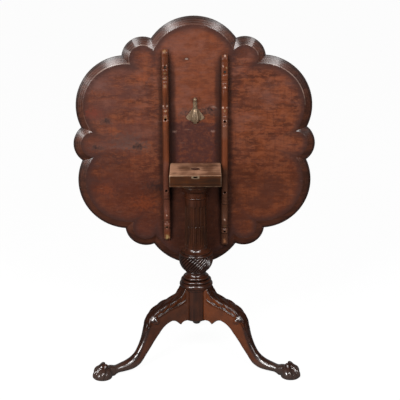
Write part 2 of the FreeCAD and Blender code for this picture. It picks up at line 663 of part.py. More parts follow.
def catch_bolt():
    """Flat bolt with a sloped nose, and the rod that carries its knob."""
    body = catch_box(BOLT_W / 2, BOLT_SHOULDER, BOLT_TOP, BOLT_DROP - BOLT_T / 2,
                     BOLT_DROP + BOLT_T / 2)
    half = BOLT_T / 2
    nose = slab([(NOSE_TIP, half), (NOSE_TIP, NOSE_SLOPE - half), (NOSE_TIP + NOSE_SLOPE, -half),
                 (BOLT_SHOULDER, -half), (BOLT_SHOULDER, half)],
                lambda a, b: catch_at(-NOSE_W / 2, a, BOLT_DROP - b), V(NOSE_W, 0, 0))
    stem = Part.makeCylinder(ROD_R, KNOB_AT + ROD_PAST - BOLT_TOP, catch_at(0, BOLT_TOP, BOLT_DROP), -Y)
    return body.fuse([nose, stem]).removeSplitter()


def catch_knob(bolt):
    """Turned knob across the rod's end."""
    collar = Part.makeCylinder(KNOB_COLLAR_R, 2 * ROD_R + KNOB_COLLAR_H,
                               catch_at(0, KNOB_AT, BOLT_DROP - 2 * ROD_R), -Z)
    neck = Part.makeCylinder(KNOB_NECK_R, KNOB_H - KNOB_R, catch_at(0, KNOB_AT, BOLT_DROP), -Z)
    ball = Part.makeSphere(KNOB_R, catch_at(0, KNOB_AT, BOLT_DROP + KNOB_H - KNOB_R))
    return collar.fuse([neck, ball]).removeSplitter().cut(bolt)


def catch_spring():
    """Round wire wound about the bolt's rod, as quarter-turn arcs."""
    low, high = BOLT_TOP + SPRING_WIRE_R, CASE_END - CASE_WALL - SPRING_WIRE_R
    count = SPRING_TURNS * 4

    def on_coil(k):
        p = polar(SPRING_R, 90 * k, 0)
        return catch_at(p.x, low + (high - low) * k / count, BOLT_DROP - p.y)

    edges = [Part.Arc(on_coil(k), on_coil(k + 0.5), on_coil(k + 1)).toShape() for k in range(count)]
    path = Part.Wire(edges)
    start = Part.Wire(Part.makeCircle(SPRING_WIRE_R, on_coil(0), edges[0].tangentAt(
        edges[0].FirstParameter)))
    return path.makePipeShell([start], True, False)


def write(name, shape):
    solids = shape if isinstance(shape, list) else [shape]
    solids = [s.Solids[0] if len(s.Solids) == 1 else s for s in solids]
    out = solids[0] if len(solids) == 1 else Part.makeCompound(solids)
    out.exportStep("parts/" + name + ".step")


def main():
    os.makedirs("parts", exist_ok=True)
    sides = (("left", -1, BEARER_FRONT), ("right", 1, BEARER_FRONT - BEARER_SLIP))
    screws = {name: bearer_screws(side, front) for name, side, front in sides}
    fan_screws = catch_screws()
    pins = {name: pivot_pin(side) for name, side, front in sides}
    strike_pins = strike_screws()
    strike = strike_plate(strike_pins)
    wedge, bolt = tenon_wedge(), catch_bolt()
    nails = brace_nails()
    limb = leg()
    whole_strike = box(-STRIKE_W / 2, STRIKE_W / 2, -BLOCK_D / 2, STRIKE_T - BLOCK_D / 2,
                       BOLT_Z - STRIKE_H / 2, BOLT_Z + STRIKE_H / 2)

    write("tray_top", tipped(tray_top(screws["left"] + screws["right"] + fan_screws)))
    for name, side, front in sides:
        write("bearer_" + name, tipped(bearer(side, front, screws[name])))
        write("bearer_screws_" + name, [tipped(s) for s in screws[name]])
        write("pivot_pin_" + name, pins[name])
    write("pivot_block", pivot_block(list(pins.values()), [whole_strike] + strike_pins))
    write("strike_plate", strike)
    write("strike_screws", strike_pins)
    write("pillar", pillar(wedge).cut(nails))
    write("tenon_wedge", wedge)
    for name, turn in LEG_TURNS.items():
        write(name, around(limb, turn).cut(nails))
    write("leg_brace", leg_brace(nails))
    write("brace_nails", nails)
    write("catch_plate", tipped(catch_plate(fan_screws)))
    write("catch_case", tipped(catch_case()))
    write("catch_staple", tipped(catch_staple()))
    write("catch_bolt", tipped(bolt))
    write("catch_knob", tipped(catch_knob(bolt)))
    write("catch_spring", tipped(catch_spring()))
    write("catch_screws", [tipped(s) for s in fan_screws])


main()
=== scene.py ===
import json
import math

import bmesh
import bpy
import numpy as np
from mathutils import Matrix, Vector


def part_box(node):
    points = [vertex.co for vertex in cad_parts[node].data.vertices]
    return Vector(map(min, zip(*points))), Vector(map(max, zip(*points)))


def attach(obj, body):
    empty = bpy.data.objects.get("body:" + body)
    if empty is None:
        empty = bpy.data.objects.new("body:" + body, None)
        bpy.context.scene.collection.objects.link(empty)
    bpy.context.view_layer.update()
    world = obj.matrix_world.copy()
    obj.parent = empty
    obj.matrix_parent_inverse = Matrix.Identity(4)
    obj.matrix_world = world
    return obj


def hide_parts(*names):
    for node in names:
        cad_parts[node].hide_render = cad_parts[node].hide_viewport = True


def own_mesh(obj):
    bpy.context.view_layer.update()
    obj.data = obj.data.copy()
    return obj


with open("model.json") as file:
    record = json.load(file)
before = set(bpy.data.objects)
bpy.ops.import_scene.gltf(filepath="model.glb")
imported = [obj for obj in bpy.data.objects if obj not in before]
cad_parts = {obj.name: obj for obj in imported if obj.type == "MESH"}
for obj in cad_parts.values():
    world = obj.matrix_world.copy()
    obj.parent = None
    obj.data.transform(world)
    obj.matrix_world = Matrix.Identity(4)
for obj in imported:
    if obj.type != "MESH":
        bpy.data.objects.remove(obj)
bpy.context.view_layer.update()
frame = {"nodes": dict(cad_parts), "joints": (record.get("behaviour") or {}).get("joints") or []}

nodes = frame["nodes"]
room = bpy.context.scene.collection


# Laying out shader nodes

class Bench:
    """Lays nodes out in one material, world or node group."""

    def __init__(self, tree):
        self.tree = tree

    def add(self, kind, feeds=None, **settings):
        node = self.tree.nodes.new("ShaderNode" + kind)
        for key, value in settings.items():
            setattr(node, key, value)
        for key, value in (feeds or {}).items():
            self.feed(node.inputs[key], value)
        return node

    def feed(self, socket, value):
        if isinstance(value, bpy.types.NodeSocket):
            self.tree.links.new(value, socket)
        else:
            socket.default_value = value

    def math(self, operation, a, b=0.0):
        return self.add("Math", {0: a, 1: b}, operation=operation).outputs[0]

    def times(self, a, b):
        return self.math("MULTIPLY", a, b)

    def plus(self, a, b):
        return self.math("ADD", a, b)

    def minus(self, a, b):
        return self.math("SUBTRACT", a, b)

    def mix(self, share, a, b):
        return self.add("Mix", {0: share, 6: a, 7: b}, data_type="RGBA").outputs[2]

    def tint(self, colour, share, mask, shade):
        """A colour that turns to a shade, by a share at most, where the mask is 1."""
        return self.mix(self.times(mask, share), colour, shade)

    def rise(self, value, low, high):
        """0 below low, 1 above high, with a soft step between; low may be the greater."""
        feeds = {"Value": value, "From Min": low, "From Max": high}
        return self.add("MapRange", feeds, interpolation_type="SMOOTHSTEP").outputs[0]

    def between(self, value, low, high, soft):
        """1 from low to high, falling to 0 over the soft width on each side."""
        return self.times(self.rise(value, low - soft, low), self.rise(value, high + soft, high))

    def noise(self, vector, scale, detail=4.0, roughness=0.55):
        feeds = {"Vector": vector, "Scale": scale, "Detail": detail, "Roughness": roughness}
        return self.add("TexNoise", feeds).outputs[0]

    def mapped(self, vector, scale=(1, 1, 1), turn=(0, 0, 0), place=(0, 0, 0)):
        feeds = {"Vector": vector, "Scale": scale, "Rotation": turn, "Location": place}
        return self.add("Mapping", feeds).outputs[0]

    def split(self, vector):
        return self.add("SeparateXYZ", {0: vector}).outputs

    def stored(self, name):
        """A value kept on each point of a mesh."""
        return self.add("Attribute", attribute_name=name).outputs["Fac"]

    def openness(self, distance, inside=False):
        """1 on open ground, less in hollows; from inside, less at edges."""
        node = self.add("AmbientOcclusion", {"Distance": distance}, samples=8, inside=inside, only_local=True)
        return node.outputs["AO"]

    def group(self, tree, **feeds):
        node = self.tree.nodes.new("ShaderNodeGroup")
        node.node_tree = tree
        for key, value in feeds.items():
            self.feed(node.inputs[key], value)
        return node.outputs


def new_group(name, takes, gives):
    """A shader node group with its sockets, as a bench with its two ends."""
    tree = bpy.data.node_groups.new(name, "ShaderNodeTree")
    for label, kind, value in takes:
        socket = tree.interface.new_socket(label, in_out="INPUT", socket_type="NodeSocket" + kind)
        if value is not None:
            socket.default_value = value
    for label, kind in gives:
        tree.interface.new_socket(label, in_out="OUTPUT", socket_type="NodeSocket" + kind)
    bench = Bench(tree)
    bench.takes = tree.nodes.new("NodeGroupInput").outputs
    bench.gives = tree.nodes.new("NodeGroupOutput").inputs
    return bench


# Effects that several finishes share

def make_grain():
    """Mahogany with its grain along X: broad streaks, fine lines, a cloudy figure and open pores."""
    b = new_group("wood_grain", (("Vector", "Vector", None), ("Light", "Color", None),
                                 ("Dark", "Color", None), ("Figure", "Float", 0.4)),
                  (("Color", "Color"), ("Fibre", "Float")))
    wander = b.times(b.noise(b.takes["Vector"], 3.0, 2.0), 0.05)
    shift = b.add("CombineXYZ", {1: wander, 2: wander}).outputs[0]
    bent = b.add("VectorMath", {0: b.takes["Vector"], 1: shift}, operation="ADD").outputs[0]
    streaks = b.noise(b.mapped(bent, (2.0, 55, 55)), 1.0, 4.0, 0.6)
    lines = b.noise(b.mapped(bent, (6.0, 300, 300)), 1.0, 3.0, 0.6)
    pores = b.noise(b.mapped(bent, (60, 1300, 1300)), 1.0, 1.0)
    cloud = b.times(b.noise(b.mapped(bent, (14, 6, 6)), 1.0, 2.0), b.takes["Figure"])
    tone = b.plus(b.times(streaks, 0.62), b.times(lines, 0.38))
    tone = b.plus(tone, b.minus(cloud, b.times(b.takes["Figure"], 0.5)))
    wood = b.mix(b.rise(tone, 0.34, 0.66), b.takes["Dark"], b.takes["Light"])
    fleck = b.rise(pores, 0.6, 0.7)
    b.feed(b.gives["Color"], b.tint(wood, 0.35, fleck, (0.01, 0.004, 0.002, 1)))
    fibre = b.plus(lines, b.times(streaks, 0.4))
    b.feed(b.gives["Fibre"], b.minus(fibre, fleck))
    return b.tree


def make_blotch():
    """Uneven patches, as old dirt, tarnish or worn polish leaves them."""
    b = new_group("blotches", (("Vector", "Vector", None), ("Scale", "Float", 20.0), ("Low", "Float", 0.45),
                               ("High", "Float", 0.6)),
                  (("Mask", "Float"),))
    patch = b.noise(b.takes["Vector"], b.takes["Scale"], 8.0, 0.68)
    b.feed(b.gives["Mask"], b.rise(patch, b.takes["Low"], b.takes["High"]))
    return b.tree


def make_stain():
    """One stain, knot or worn spot: a patch with a ragged edge, squeezed by its stretch."""
    b = new_group("stain", (("Vector", "Vector", None), ("Place", "Vector", None), ("Reach", "Float", 0.02),
                            ("Stretch", "Vector", (0.5, 1, 1))),
                  (("Mask", "Float"),))
    away = b.add("VectorMath", {0: b.takes["Vector"], 1: b.takes["Place"]}, operation="SUBTRACT").outputs[0]
    away = b.mapped(away, b.takes["Stretch"])
    far = b.add("VectorMath", {0: away}, operation="LENGTH").outputs["Value"]
    ragged = b.times(b.noise(b.takes["Vector"], 110.0, 6.0, 0.65), b.takes["Reach"])
    edge = b.plus(far, b.times(ragged, 1.6))
    outer, inner = b.times(b.takes["Reach"], 1.4), b.times(b.takes["Reach"], 0.75)
    b.feed(b.gives["Mask"], b.rise(edge, outer, inner))
    return b.tree


GRAIN = make_grain()
BLOTCH = make_blotch()
STAIN = make_stain()


# Finishes

def new_finish(name):
    """An empty finish: the material, its bench, its shader and its Object coordinates."""
    finish = bpy.data.materials.new(name)
    finish.use_nodes = True
    b = Bench(finish.node_tree)
    skin = finish.node_tree.nodes["Principled BSDF"]
    place = b.add("TexCoord").outputs["Object"]
    return finish, b, skin, place


def raise_surface(b, skin, height, distance, strength):
    """Gives a finish a fine relief."""
    bump = b.add("Bump", {"Height": height, "Distance": distance, "Strength": strength})
    b.feed(skin.inputs["Normal"], bump.outputs[0])


def patches(b, vector, scale, low, high):
    """A mask of uneven patches: the share of them grows as low and high fall."""
    return b.group(BLOTCH, Vector=vector, Scale=scale, Low=low, High=high)["Mask"]


ALONG_Z = (0, math.radians(90), 0)     # turns a grain that runs along X upright


# The two rings of lobes round the top: their reach from its middle, their radius, degrees to the first.
LOBES = ((0.441, 0.1753, 30), (0.4175, 0.0726, 0))
LOBE_STEP = 60


def outline_depth(b, place):
    """How far a point lies inside the top's lobed outline."""
    low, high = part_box("tray_top")
    middle = (low + high) / 2
    flat = b.mapped(place, (1, 0, 1), place=(-middle.x, 0, -middle.z))
    depth = -1.0
    for reach, radius, first in LOBES:
        for turn in range(first, 360, LOBE_STEP):
            way = (math.cos(math.radians(turn)), 0, math.sin(math.radians(turn)))
            along = b.add("VectorMath", {0: flat, 1: way}, operation="DOT_PRODUCT").outputs["Value"]
            along = b.math("MINIMUM", b.math("MAXIMUM", along, 0.0), reach - radius)
            near = b.add("VectorMath", {0: way, "Scale": along}, operation="SCALE").outputs[0]
            away = b.add("VectorMath", {0: flat, 1: near}, operation="DISTANCE").outputs["Value"]
            depth = b.math("MAXIMUM", depth, b.minus(radius, away))
    return depth


# Shades of the underside.
BARE_LIGHT, BARE_DARK = (0.180, 0.044, 0.017, 1), (0.070, 0.0165, 0.0068, 1)
STROKE = (0.066, 0.019, 0.0105, 1)
LEFT_MAUVE = (0.090, 0.031, 0.023, 1)
CENTRE_RED = (0.190, 0.050, 0.021, 1)
# painted shade of the lower half of the underside
LOW_RIGHT_SHADE, LOW_LEFT_SHADE = (0.115, 0.026, 0.0075, 1), (0.070, 0.0135, 0.0055, 1)
LOW_SHADE_PATCHES = (0.066, 0.018, 0.0095, 1)
# greyish bloom, partly painted sheen
BLOOM_AND_SHEEN = (0.20, 0.080, 0.058, 1)
REST_MARK = (0.062, 0.019, 0.0145, 1)
# painted shade below the block
UNDER_BLOCK_SHADE = (0.040, 0.0115, 0.006, 1)
# dirt and painted shadow beside the bearers
INNER_DIRT_AND_SHADOW, OUTER_DIRT_AND_SHADOW = (0.024, 0.008, 0.0055, 1), (0.028, 0.0095, 0.006, 1)
EDGE_GREY, RIM_DARK = (0.064, 0.023, 0.017, 1), (0.036, 0.015, 0.012, 1)
SCRATCH = (0.32, 0.17, 0.12, 1)
PALE_SPECK, DARK_SPECK = (0.26, 0.14, 0.10, 1), (0.025, 0.009, 0.006, 1)

# Tones of the whole underside: share, scale of the patches, low, high, stretch, shift and shade.
BOARD_TONES = (
    (0.6, 15, 0.44, 0.62, (0.7, 1, 1.2), (0, 0, 0), (0.190, 0.047, 0.0135, 1)),
    (0.55, 24, 0.47, 0.64, (0.8, 1, 1.1), (1, 4, 2), (0.055, 0.0155, 0.0095, 1)),
    (0.45, 62, 0.44, 0.56, (0.4, 1, 1.3), (8, 3, 5), (0.052, 0.0145, 0.0075, 1)),
    (0.5, 75, 0.46, 0.58, (0.45, 1, 1.2), (4, 9, 1), (0.250, 0.072, 0.029, 1)))

# Stains, knots and worn spots of the underside: place across and up, reach, squeeze across, shade and share.
BOARD_STAINS = (
    # broad tones and the two bands left of the bearers
    (-0.327, 0.956, 0.075, 0.7, (0.140, 0.060, 0.047, 1), 0.5),
    (-0.352, 0.861, 0.05, 0.6, (0.165, 0.031, 0.017, 1), 0.6),
    (-0.181, 0.986, 0.05, 0.7, (0.250, 0.060, 0.020, 1), 0.5),
    (-0.176, 0.540, 0.07, 0.6, (0.215, 0.045, 0.013, 1), 0.5),
    (-0.312, 0.590, 0.05, 0.7, (0.200, 0.043, 0.013, 1), 0.5),
    (-0.352, 0.623, 0.04, 0.7, (0.050, 0.020, 0.016, 1), 0.6),
    (-0.252, 0.742, 0.018, 0.12, (0.150, 0.072, 0.058, 1), 0.5),
    (-0.180, 0.769, 0.015, 0.15, (0.050, 0.011, 0.0075, 1), 0.75),
    # knots and the pale wood about them
    (-0.24, 0.766, 0.075, 0.5, (0.085, 0.045, 0.037, 1), 0.6),
    (-0.198, 0.745, 0.05, 0.5, (0.11, 0.062, 0.05, 1), 0.5),
    (-0.3085, 0.834, 0.03, 0.5, (0.11, 0.062, 0.05, 1), 0.5),
    (-0.34, 0.74, 0.03, 0.5, (0.11, 0.062, 0.05, 1), 0.5),
    (-0.3085, 0.834, 0.02, 0.5, (0.024, 0.011, 0.009, 1), 0.9),
    (-0.34, 0.74, 0.02, 0.5, (0.022, 0.010, 0.009, 1), 0.9),
    (-0.198, 0.7446, 0.025, 0.5, (0.022, 0.010, 0.008, 1), 0.95),
    (-0.33, 0.70, 0.09, 0.5, (0.055, 0.022, 0.018, 1), 0.5),
    # stains on the right
    (0.2, 0.905, 0.06, 0.5, (0.09, 0.025, 0.013, 1), 0.6),
    (0.27, 0.60, 0.09, 0.5, (0.07, 0.02, 0.011, 1), 0.5),
    # old marks and dirt about the catch, with a painted shadow round it
    (0.05, 0.868, 0.045, 0.5, (0.05, 0.026, 0.021, 1), 0.8),
    (0.043, 0.878, 0.012, 0.5, (0.012, 0.006, 0.005, 1), 0.9),
    (0.058, 0.872, 0.012, 0.5, (0.012, 0.006, 0.005, 1), 0.9),
    (0.064, 0.882, 0.01, 0.5, (0.30, 0.2, 0.16, 1), 0.6),
    (-0.028, 0.862, 0.04, 0.5, (0.11, 0.055, 0.045, 1), 0.7),
    (0.0, 0.853, 0.05, 0.5, (0.022, 0.010, 0.007, 1), 0.85),
    (-0.004, 0.908, 0.024, 0.5, (0.05, 0.02, 0.014, 1), 0.7),
    # a dark patch beside the left bearer, two knocks by the block, a filled hole near the upper edge
    (-0.140, 0.602, 0.055, 0.5, (0.030, 0.0125, 0.010, 1), 0.8),
    (-0.07, 0.797, 0.011, 0.5, (0.26, 0.15, 0.12, 1), 0.75),
    (0.063, 0.797, 0.011, 0.5, (0.26, 0.15, 0.12, 1), 0.75),
    (-0.028, 1.0487, 0.016, 0.5, (0.025, 0.01, 0.007, 1), 0.85),
    (-0.028, 1.0487, 0.006, 0.5, (0.6, 0.5, 0.42, 1), 1.0))


def underside_wood(b, place, depth):
    """The bare underside, stained, with dirt and painted shadow beside the bearers, painted shade low down
    and behind the pillar, a bloom partly of painted sheen up high, and marked by the block: its colour and
    fibre.
    """
    x, _, z = b.split(place)
    wide = b.math("ABSOLUTE", x)

    def spread(scale, low, high, stretch=(1, 1, 1), shift=(0, 0, 0)):
        return patches(b, b.mapped(place, stretch, place=shift), scale, low, high)

    bare = b.group(GRAIN, Vector=place, Light=BARE_LIGHT, Dark=BARE_DARK, Figure=0.7)
    wood = bare["Color"]
    for share, *patch, shade in BOARD_TONES:
        wood = b.tint(wood, share, spread(*patch), shade)
    strokes = b.noise(b.mapped(place, (120, 1, 9)), 1.0, 3.0)
    wood = b.tint(wood, 0.3, b.rise(strokes, 0.48, 0.66), STROKE)
    left = b.times(b.rise(x, 0.05, -0.25), spread(8, 0.4, 0.62, (0.6, 1, 1.4), (5, 2, 1)))
    wood = b.tint(wood, 0.75, left, LEFT_MAUVE)
    centre = b.times(b.rise(wide, 0.1, 0.06), b.rise(z, 0.78, 0.95))
    wood = b.tint(wood, 0.4, centre, CENTRE_RED)
    # painted shade: the lower half darkens, redder on the right, in dark patches, and darker on the left
    lower = b.rise(z, 0.78, 0.58)
    wood = b.tint(wood, 0.4, b.times(lower, b.rise(x, 0.05, 0.22)), LOW_RIGHT_SHADE)
    wood = b.tint(wood, 0.7, b.times(lower, spread(10, 0.42, 0.62, shift=(2, 7, 3))), LOW_SHADE_PATCHES)
    wood = b.tint(wood, 0.45, b.times(lower, b.rise(x, -0.06, -0.2)), LOW_LEFT_SHADE)
    # a greyish bloom on the upper half, partly painted sheen
    bloom_and_sheen = b.times(spread(13, 0.45, 0.64, (0.7, 1, 1.3), (3, 1, 2)), b.rise(z, 0.66, 0.9))
    wood = b.tint(wood, 0.4, bloom_and_sheen, BLOOM_AND_SHEEN)

    # where the block lies against the board when the top is down, and painted shade behind the pillar, below
    # the block
    block_low, block_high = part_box("pivot_block")
    pivot = Vector(next(j["pos_m"] for j in frame["joints"] if j["name"] == "top_tilt"))
    mark_top = pivot.z + pivot.y - block_low.y
    uneven = b.plus(z, b.times(b.noise(place, 45.0, 5.0), 0.03))
    mark = b.times(b.rise(wide, block_high.x + 0.003, block_high.x - 0.003),
                   b.between(uneven, block_high.z - 0.005, mark_top + 0.01, 0.008))
    mark = b.times(mark, b.plus(0.55, b.times(spread(70, 0.42, 0.56), 0.45)))
    wood = b.mix(mark, wood, REST_MARK)
    # painted shade behind the pillar, below the block
    behind = b.times(b.rise(wide, 0.1, 0.085), b.rise(z, 0.68, 0.64))
    wood = b.tint(wood, 0.72, behind, UNDER_BLOCK_SHADE)

    # dirt and painted shadow on both sides of the bearers; greyer and darker towards the edge
    bearer_x = sum(p.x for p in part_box("bearer_right")) / 2
    beside = b.plus(b.minus(wide, bearer_x), b.times(b.noise(place, 30.0), 0.012))
    inner = b.times(b.between(beside, -0.022, 0.01, 0.012), b.between(z, 0.66, 1.0, 0.05))
    outer = b.times(b.between(beside, -0.01, 0.024, 0.014), b.between(z, 0.43, 1.05, 0.03))
    wood = b.tint(wood, 0.68, inner, INNER_DIRT_AND_SHADOW)
    wood = b.tint(wood, 0.6, outer, OUTER_DIRT_AND_SHADOW)
    edge = b.rise(b.plus(depth, b.times(b.noise(place, 12.0), 0.05)), 0.09, 0.05)
    wood = b.tint(wood, 0.6, edge, EDGE_GREY)
    wood = b.tint(wood, 0.6, b.rise(depth, 0.050, 0.029), RIM_DARK)

    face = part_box("tray_top")[0].y
    for across, up, reach, squeeze, shade, share in BOARD_STAINS:
        spot = b.group(STAIN, Vector=place, Place=(across, face, up), Reach=reach, Stretch=(squeeze, 1, 1))
        wood = b.tint(wood, share, spot["Mask"], shade)

    scratches = b.noise(b.mapped(place, (14, 1, 420)), 1.0, 2.0)
    wood = b.tint(wood, 0.35, b.rise(scratches, 0.68, 0.75), SCRATCH)
    wood = b.tint(wood, 0.35, spread(230, 0.63, 0.74), PALE_SPECK)
    wood = b.tint(wood, 0.6, spread(120, 0.66, 0.74, shift=(6, 2, 8)), DARK_SPECK)
    return wood, bare["Fibre"]


# Heights over the underside, in the top's thickness.
UNDERSIDE = (0.0006, 0.0003)     # the bare face ends
ARRIS = (0.0026, 0.0012)         # the edge where the bevel meets the bare face, pale as wear and as a painted highlight
DISH = (0.0125, 0.0139)          # the bevel ends and the tray side starts
TOOLED = (0.0125, 0.0115)        # the tool marks of the bevel end
TOOL_MARKS = 900.0               # radians of their wave per metre of depth

BEVEL_LIGHT, BEVEL_DARK = (0.095, 0.028, 0.0135, 1), (0.036, 0.011, 0.006, 1)
BEVEL_EDGE = (0.016, 0.006, 0.004, 1)
DISH_LIGHT, DISH_DARK = (0.20, 0.060, 0.023, 1), (0.085, 0.024, 0.0095, 1)
CORNER_DIRT_AND_SHADE = (0.016, 0.006, 0.0035, 1)
ARRIS_WEAR_AND_HIGHLIGHT = (0.36, 0.24, 0.19, 1)


def board_finish():
    """The top: a bare, stained underside with a polished bevel, rim and dish."""
    finish, b, skin, place = new_finish("board_mahogany")
    _, y, z = b.split(place)
    up = b.minus(y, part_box("tray_top")[0].y)
    depth = outline_depth(b, place)
    wood, fibre = underside_wood(b, place, depth)

    polish = b.group(GRAIN, Vector=place, Light=BEVEL_LIGHT, Dark=BEVEL_DARK, Figure=0.5)
    bevel = b.tint(polish["Color"], 0.85, b.rise(depth, 0.014, 0.001), BEVEL_EDGE)
    elsewhere = b.mapped(place, place=(0.4, 0, 0.3))
    dish = b.group(GRAIN, Vector=elsewhere, Light=DISH_LIGHT, Dark=DISH_DARK, Figure=0.6)
    shown = b.mix(b.rise(up, *DISH), bevel, dish["Color"])
    # dirt and painted shade in the corners of the polished part
    shown = b.mix(b.rise(b.openness(0.012), 0.75, 0.35), shown, CORNER_DIRT_AND_SHADE)
    # the arris on the upper half, paler as wear and as a painted highlight
    worn_and_lit_edge = b.times(b.rise(z, 0.72, 0.95), patches(b, place, 9, 0.42, 0.62))
    shown = b.tint(shown, 0.6, b.times(b.rise(up, *ARRIS), worn_and_lit_edge), ARRIS_WEAR_AND_HIGHLIGHT)

    under = b.rise(up, *UNDERSIDE)
    b.feed(skin.inputs["Base Color"], b.mix(under, shown, wood))
    worn = patches(b, place, 9, 0.4, 0.65)
    dull = b.plus(0.42, b.times(worn, 0.14))
    bright = b.plus(0.36, b.times(worn, 0.1))
    b.feed(skin.inputs["Roughness"], b.add("Mix", {0: under, 2: bright, 3: dull}).outputs[0])
    skin.inputs["Specular IOR Level"].default_value = 0.2
    b.feed(skin.inputs["Coat Weight"], b.times(b.minus(1.0, under), 0.65))
    skin.inputs["Coat Roughness"].default_value = 0.17
    tooling = b.times(b.math("SINE", b.times(depth, TOOL_MARKS)), b.rise(up, *TOOLED))
    raise_surface(b, skin, b.mix(under, tooling, fibre), 0.0004, 0.6)
    return finish


# Shades of the polished wood of the pillar and legs.
WARM_LIT_SIDE = (0.165, 0.040, 0.009, 1)
SCUFF_AND_SHEEN_GREY = (0.085, 0.058, 0.048, 1)
SHUT_IN_DIRT_AND_SHADE = (0.009, 0.0035, 0.002, 1)
RUBBED_EDGE = (0.17, 0.065, 0.028, 1)
FLUTE_EDGE = (0.20, 0.088, 0.030, 1)
CARVING_DIRT_AND_SHADE = (0.008, 0.003, 0.002, 1)
FEET_SCUFF_AND_SHEEN = (0.044, 0.026)     # the feet turn grey, as scuffing and as painted sheen, from the first height down to the second


def polished_finish(name, turn, light, dark, blur, shaft=None):
    """Dark waxed mahogany, darkened in the hollows by dirt and painted shade, warmer on its sides as wood
    colour and painted light, and rubbed paler on its edges.

    With the two heights of a shaft it is dull between them, with pale edges; without, it is a leg's, with a
    foot greyed by scuffing and by painted sheen.
    """
    finish, b, skin, place = new_finish(name)
    height = b.split(place)[2]
    grain = b.group(GRAIN, Vector=b.mapped(place, turn=turn), Light=light, Dark=dark, Figure=0.5)
    faded = patches(b, place, 18.0, 0.3, 0.65)
    # warmer sides, partly the wood's colour and partly painted light
    warm = b.times(b.stored("warm"), b.plus(0.45, b.times(faded, 0.5)))
    wood = b.mix(warm, grain["Color"], WARM_LIT_SIDE)
    if not shaft:
        # the feet turn grey, as scuffing and as painted sheen
        wood = b.tint(wood, 0.5, b.rise(height, *FEET_SCUFF_AND_SHEEN), SCUFF_AND_SHEEN_GREY)
    # dirt and painted shade in the hollows
    wood = b.mix(b.rise(b.openness(0.014), 0.85, 0.4), wood, SHUT_IN_DIRT_AND_SHADE)
    rubbed = b.times(b.stored("rubbed"), patches(b, place, 25.0, 0.35, 0.6))
    wood = b.tint(wood, 0.3, rubbed, RUBBED_EDGE)
    if shaft:
        plain = b.between(height, *shaft, 0.004)
        edges = b.times(b.rise(b.openness(0.0025, inside=True), 0.85, 0.5), plain)
        wood = b.tint(wood, 0.85, edges, FLUTE_EDGE)
    # dirt and painted shade in the carving's hollows
    wood = b.tint(wood, 0.8, b.stored("hollow"), CARVING_DIRT_AND_SHADE)
    b.feed(skin.inputs["Base Color"], wood)
    dulled = patches(b, place, 14.0, 0.4, 0.65)
    b.feed(skin.inputs["Roughness"], b.plus(0.30, b.times(dulled, 0.14)))
    skin.inputs["Specular IOR Level"].default_value = 0.2
    unwaxed = b.times(plain, 0.85) if shaft else b.times(b.stored("carved"), 0.8)
    b.feed(skin.inputs["Coat Weight"], b.times(b.minus(1.0, b.times(dulled, 0.3)), b.minus(1.0, unwaxed)))
    skin.inputs["Coat Roughness"].default_value = blur
    skin.inputs["Coat IOR"].default_value = 1.75 if shaft else 1.95
    raise_surface(b, skin, grain["Fibre"], 0.0002, 0.05)
    return finish


# Shades of the plain wood of the block and bearers.
# pale wood of the block's top, partly painted light
PALE_LIGHT, PALE_DARK = (0.56, 0.29, 0.175, 1), (0.19, 0.084, 0.045, 1)
SIDE_SHADE = (0.026, 0.010, 0.006, 1)
HOLLOW_DIRT_AND_SHADE = (0.018, 0.007, 0.004, 1)
GRIME = (0.04, 0.016, 0.009, 1)


def worn_finish(name, turn, light, dark, rub, rubs, gloss, shine,
                worn_lit_from=None, spots=(), zones=(), spine=None):
    """Plain wood, pale where handling has rubbed the edges, paler above worn_lit_from as worn wood and
    painted light, marked at spots, darkened in corners by dirt and painted shade.

    Zones are lengths in height with another shade; spine is the middle and half width of a rail whose sides
    are painted darker, as shade.
    """
    finish, b, skin, place = new_finish(name)
    across, _, height = b.split(place)
    grain = b.group(GRAIN, Vector=b.mapped(place, turn=turn), Light=light, Dark=dark, Figure=0.4)
    wood = grain["Color"]
    # the block's top is paler, partly worn wood and partly painted light
    if worn_lit_from is not None:
        pale = b.group(GRAIN, Vector=place, Light=PALE_LIGHT, Dark=PALE_DARK, Figure=0.9)
        wood = b.mix(b.rise(height, worn_lit_from - 0.001, worn_lit_from), wood, pale["Color"])
    for low, high, shade, share in zones:
        wood = b.tint(wood, share, b.between(height, low, high, 0.02), shade)
    if spine:
        middle, half = spine
        # painted shade on the rail's sides
        aside = b.math("ABSOLUTE", b.minus(across, middle))
        wood = b.tint(wood, 0.75, b.rise(aside, half * 0.6, half * 0.98), SIDE_SHADE)
    for spot, reach, shade in spots:
        bared = b.group(STAIN, Vector=place, Place=spot, Reach=reach, Stretch=(1.3, 0.05, 1))["Mask"]
        wood = b.tint(wood, 0.85, bared, shade)
    # dirt and painted shade in the hollows
    wood = b.tint(wood, 0.85, b.stored("hollow"), HOLLOW_DIRT_AND_SHADE)
    wood = b.tint(wood, 0.55, patches(b, place, 16.0, 0.5, 0.68), GRIME)
    rubbed = b.stored("rubbed")
    patchy = b.plus(0.35, patches(b, place, 40.0, 0.4, 0.58))
    wood = b.tint(wood, rubs, b.times(rubbed, patchy), rub)
    b.feed(skin.inputs["Base Color"], wood)
    b.feed(skin.inputs["Roughness"], b.minus(gloss, b.times(rubbed, 0.12)))
    skin.inputs["Specular IOR Level"].default_value = 0.15
    b.feed(skin.inputs["Coat Weight"], b.times(b.rise(rubbed, 0.05, 0.5), shine))
    skin.inputs["Coat Roughness"].default_value = 0.18
    raise_surface(b, skin, grain["Fibre"], 0.0004, 0.3)
    return finish


